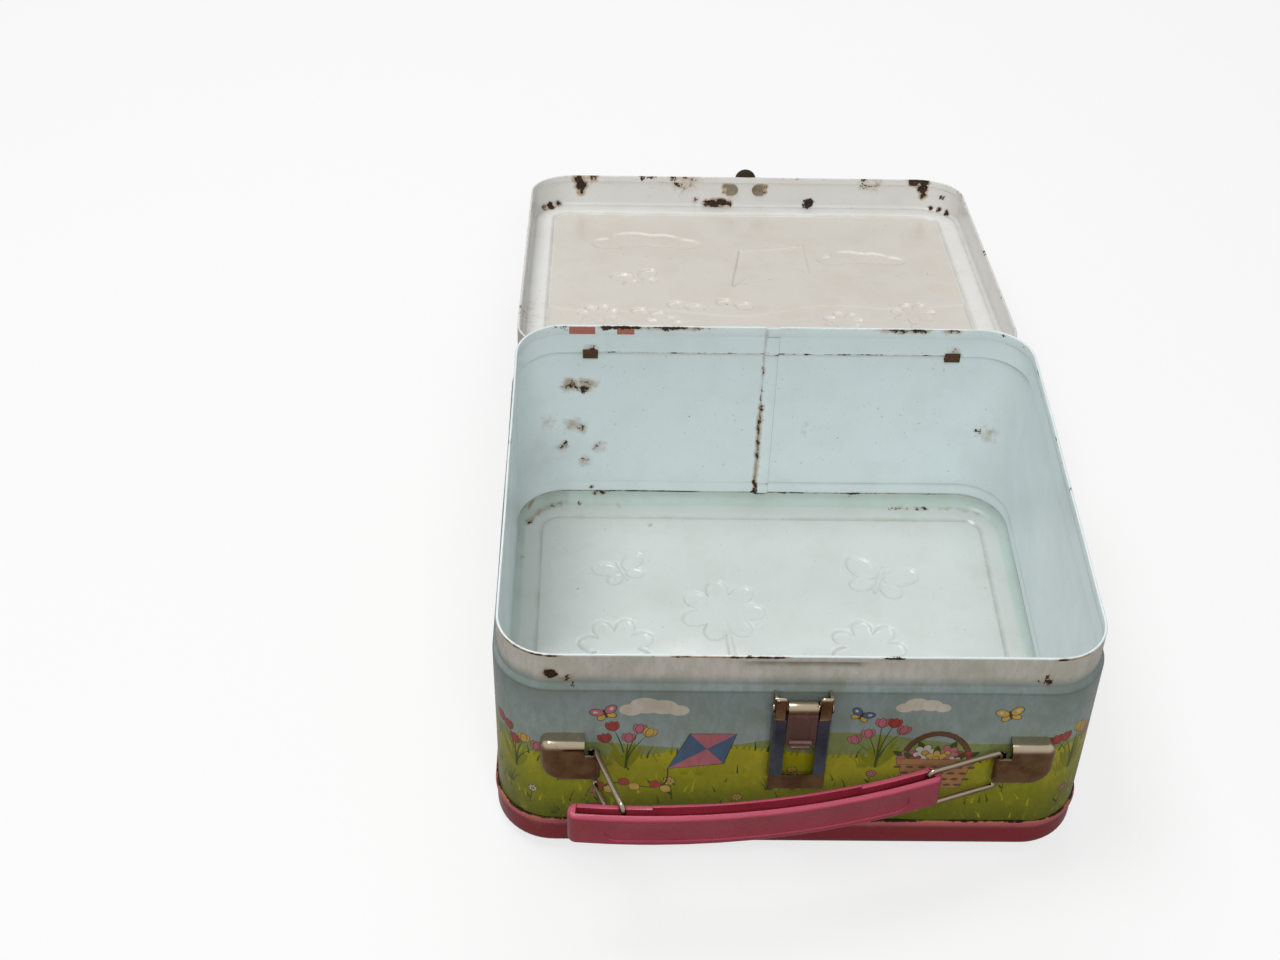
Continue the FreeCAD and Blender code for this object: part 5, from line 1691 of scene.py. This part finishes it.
floor_mesh = bpy.data.meshes.new("studio_floor")
corners = [(x, y, 0) for x, y in rectangle(FLOOR_REACH, -FLOOR_REACH, FLOOR_REACH)]
floor_mesh.from_pydata(corners, [], [(0, 1, 2, 3)])
floor = bpy.data.objects.new("studio_floor", floor_mesh)
bpy.context.scene.collection.objects.link(floor)

floor_paint = bpy.data.materials.new("studio_floor")
floor_paint.use_nodes = True
wires = Wiring(floor_paint.node_tree)
wires.tree.nodes.clear()
seen = brightness_seen(wires, FLOOR_MIRRORED)
pale = wires.blend(seen, rgba(FLOOR_SHADED), rgba(FLOOR_PALE))
matte = wires.node("BsdfDiffuse", {"Color": pale}).outputs[0]
glow = wires.node("Emission", {"Color": rgba(WHITE), "Strength": 1.0}).outputs[0]
glowing = wires.times(seen, 1 - SHADOW_DEPTH)
lit = wires.node("MixShader", {0: glowing, 1: matte, 2: glow}).outputs[0]
wires.plug(lit, wires.node("OutputMaterial").inputs["Surface"])
floor_mesh.materials.append(floor_paint)

world = bpy.data.worlds.new("studio")
bpy.context.scene.world = world
world.use_nodes = True
wires = Wiring(world.node_tree)
wires.tree.nodes.clear()
seen = brightness_seen(wires, SKY_MIRRORED)
strength = wires.plus(AMBIENT, wires.times(seen, 1 - AMBIENT))
backdrop = wires.node("Background", {"Color": rgba(WHITE), "Strength": strength}).outputs[0]
wires.plug(backdrop, wires.node("OutputWorld").inputs["Surface"])
print("floor %.0f m across" % (2 * FLOOR_REACH))

# %% [markdown]
# ## Lamps
# Three large soft lamps stand for the windows and the room: their size makes the shadows soft, and their
# power, in watts, sets how bright the inside is against the front.

# %% Lamps


def soft_lamp(name, place, aim, size, power):
    data = bpy.data.lights.new(name, "AREA")
    data.shape = "RECTANGLE"
    data.size, data.size_y = size
    data.energy = power
    lamp = bpy.data.objects.new(name, data)
    lamp.location = place
    lamp.rotation_euler = (Vector(aim) - Vector(place)).to_track_quat("-Z", "Y").to_euler()
    bpy.context.scene.collection.objects.link(lamp)
    return lamp


soft_lamp("overhead", (-0.45, 0.1, 1.4), (0, 0.05, 0), size=(0.6, 0.5), power=7.4)
front_fill = soft_lamp("high_front", (0.0, -1.1, 1.2), (0, 0.05, 0.05), size=(0.8, 0.45), power=10.4)
front_fill.visible_glossy = False
soft_lamp("back_window", (-0.05, 1.05, 1.3), (0, 0.05, 0.05), size=(1.1, 0.5), power=6.5)
print("lamps:", [lamp.name for lamp in bpy.data.lights])

# %% [markdown]
# ## Picture settings
# Colours are shown as they are, without a film look.

# %% Picture settings
bpy.context.scene.view_settings.view_transform = "Standard"
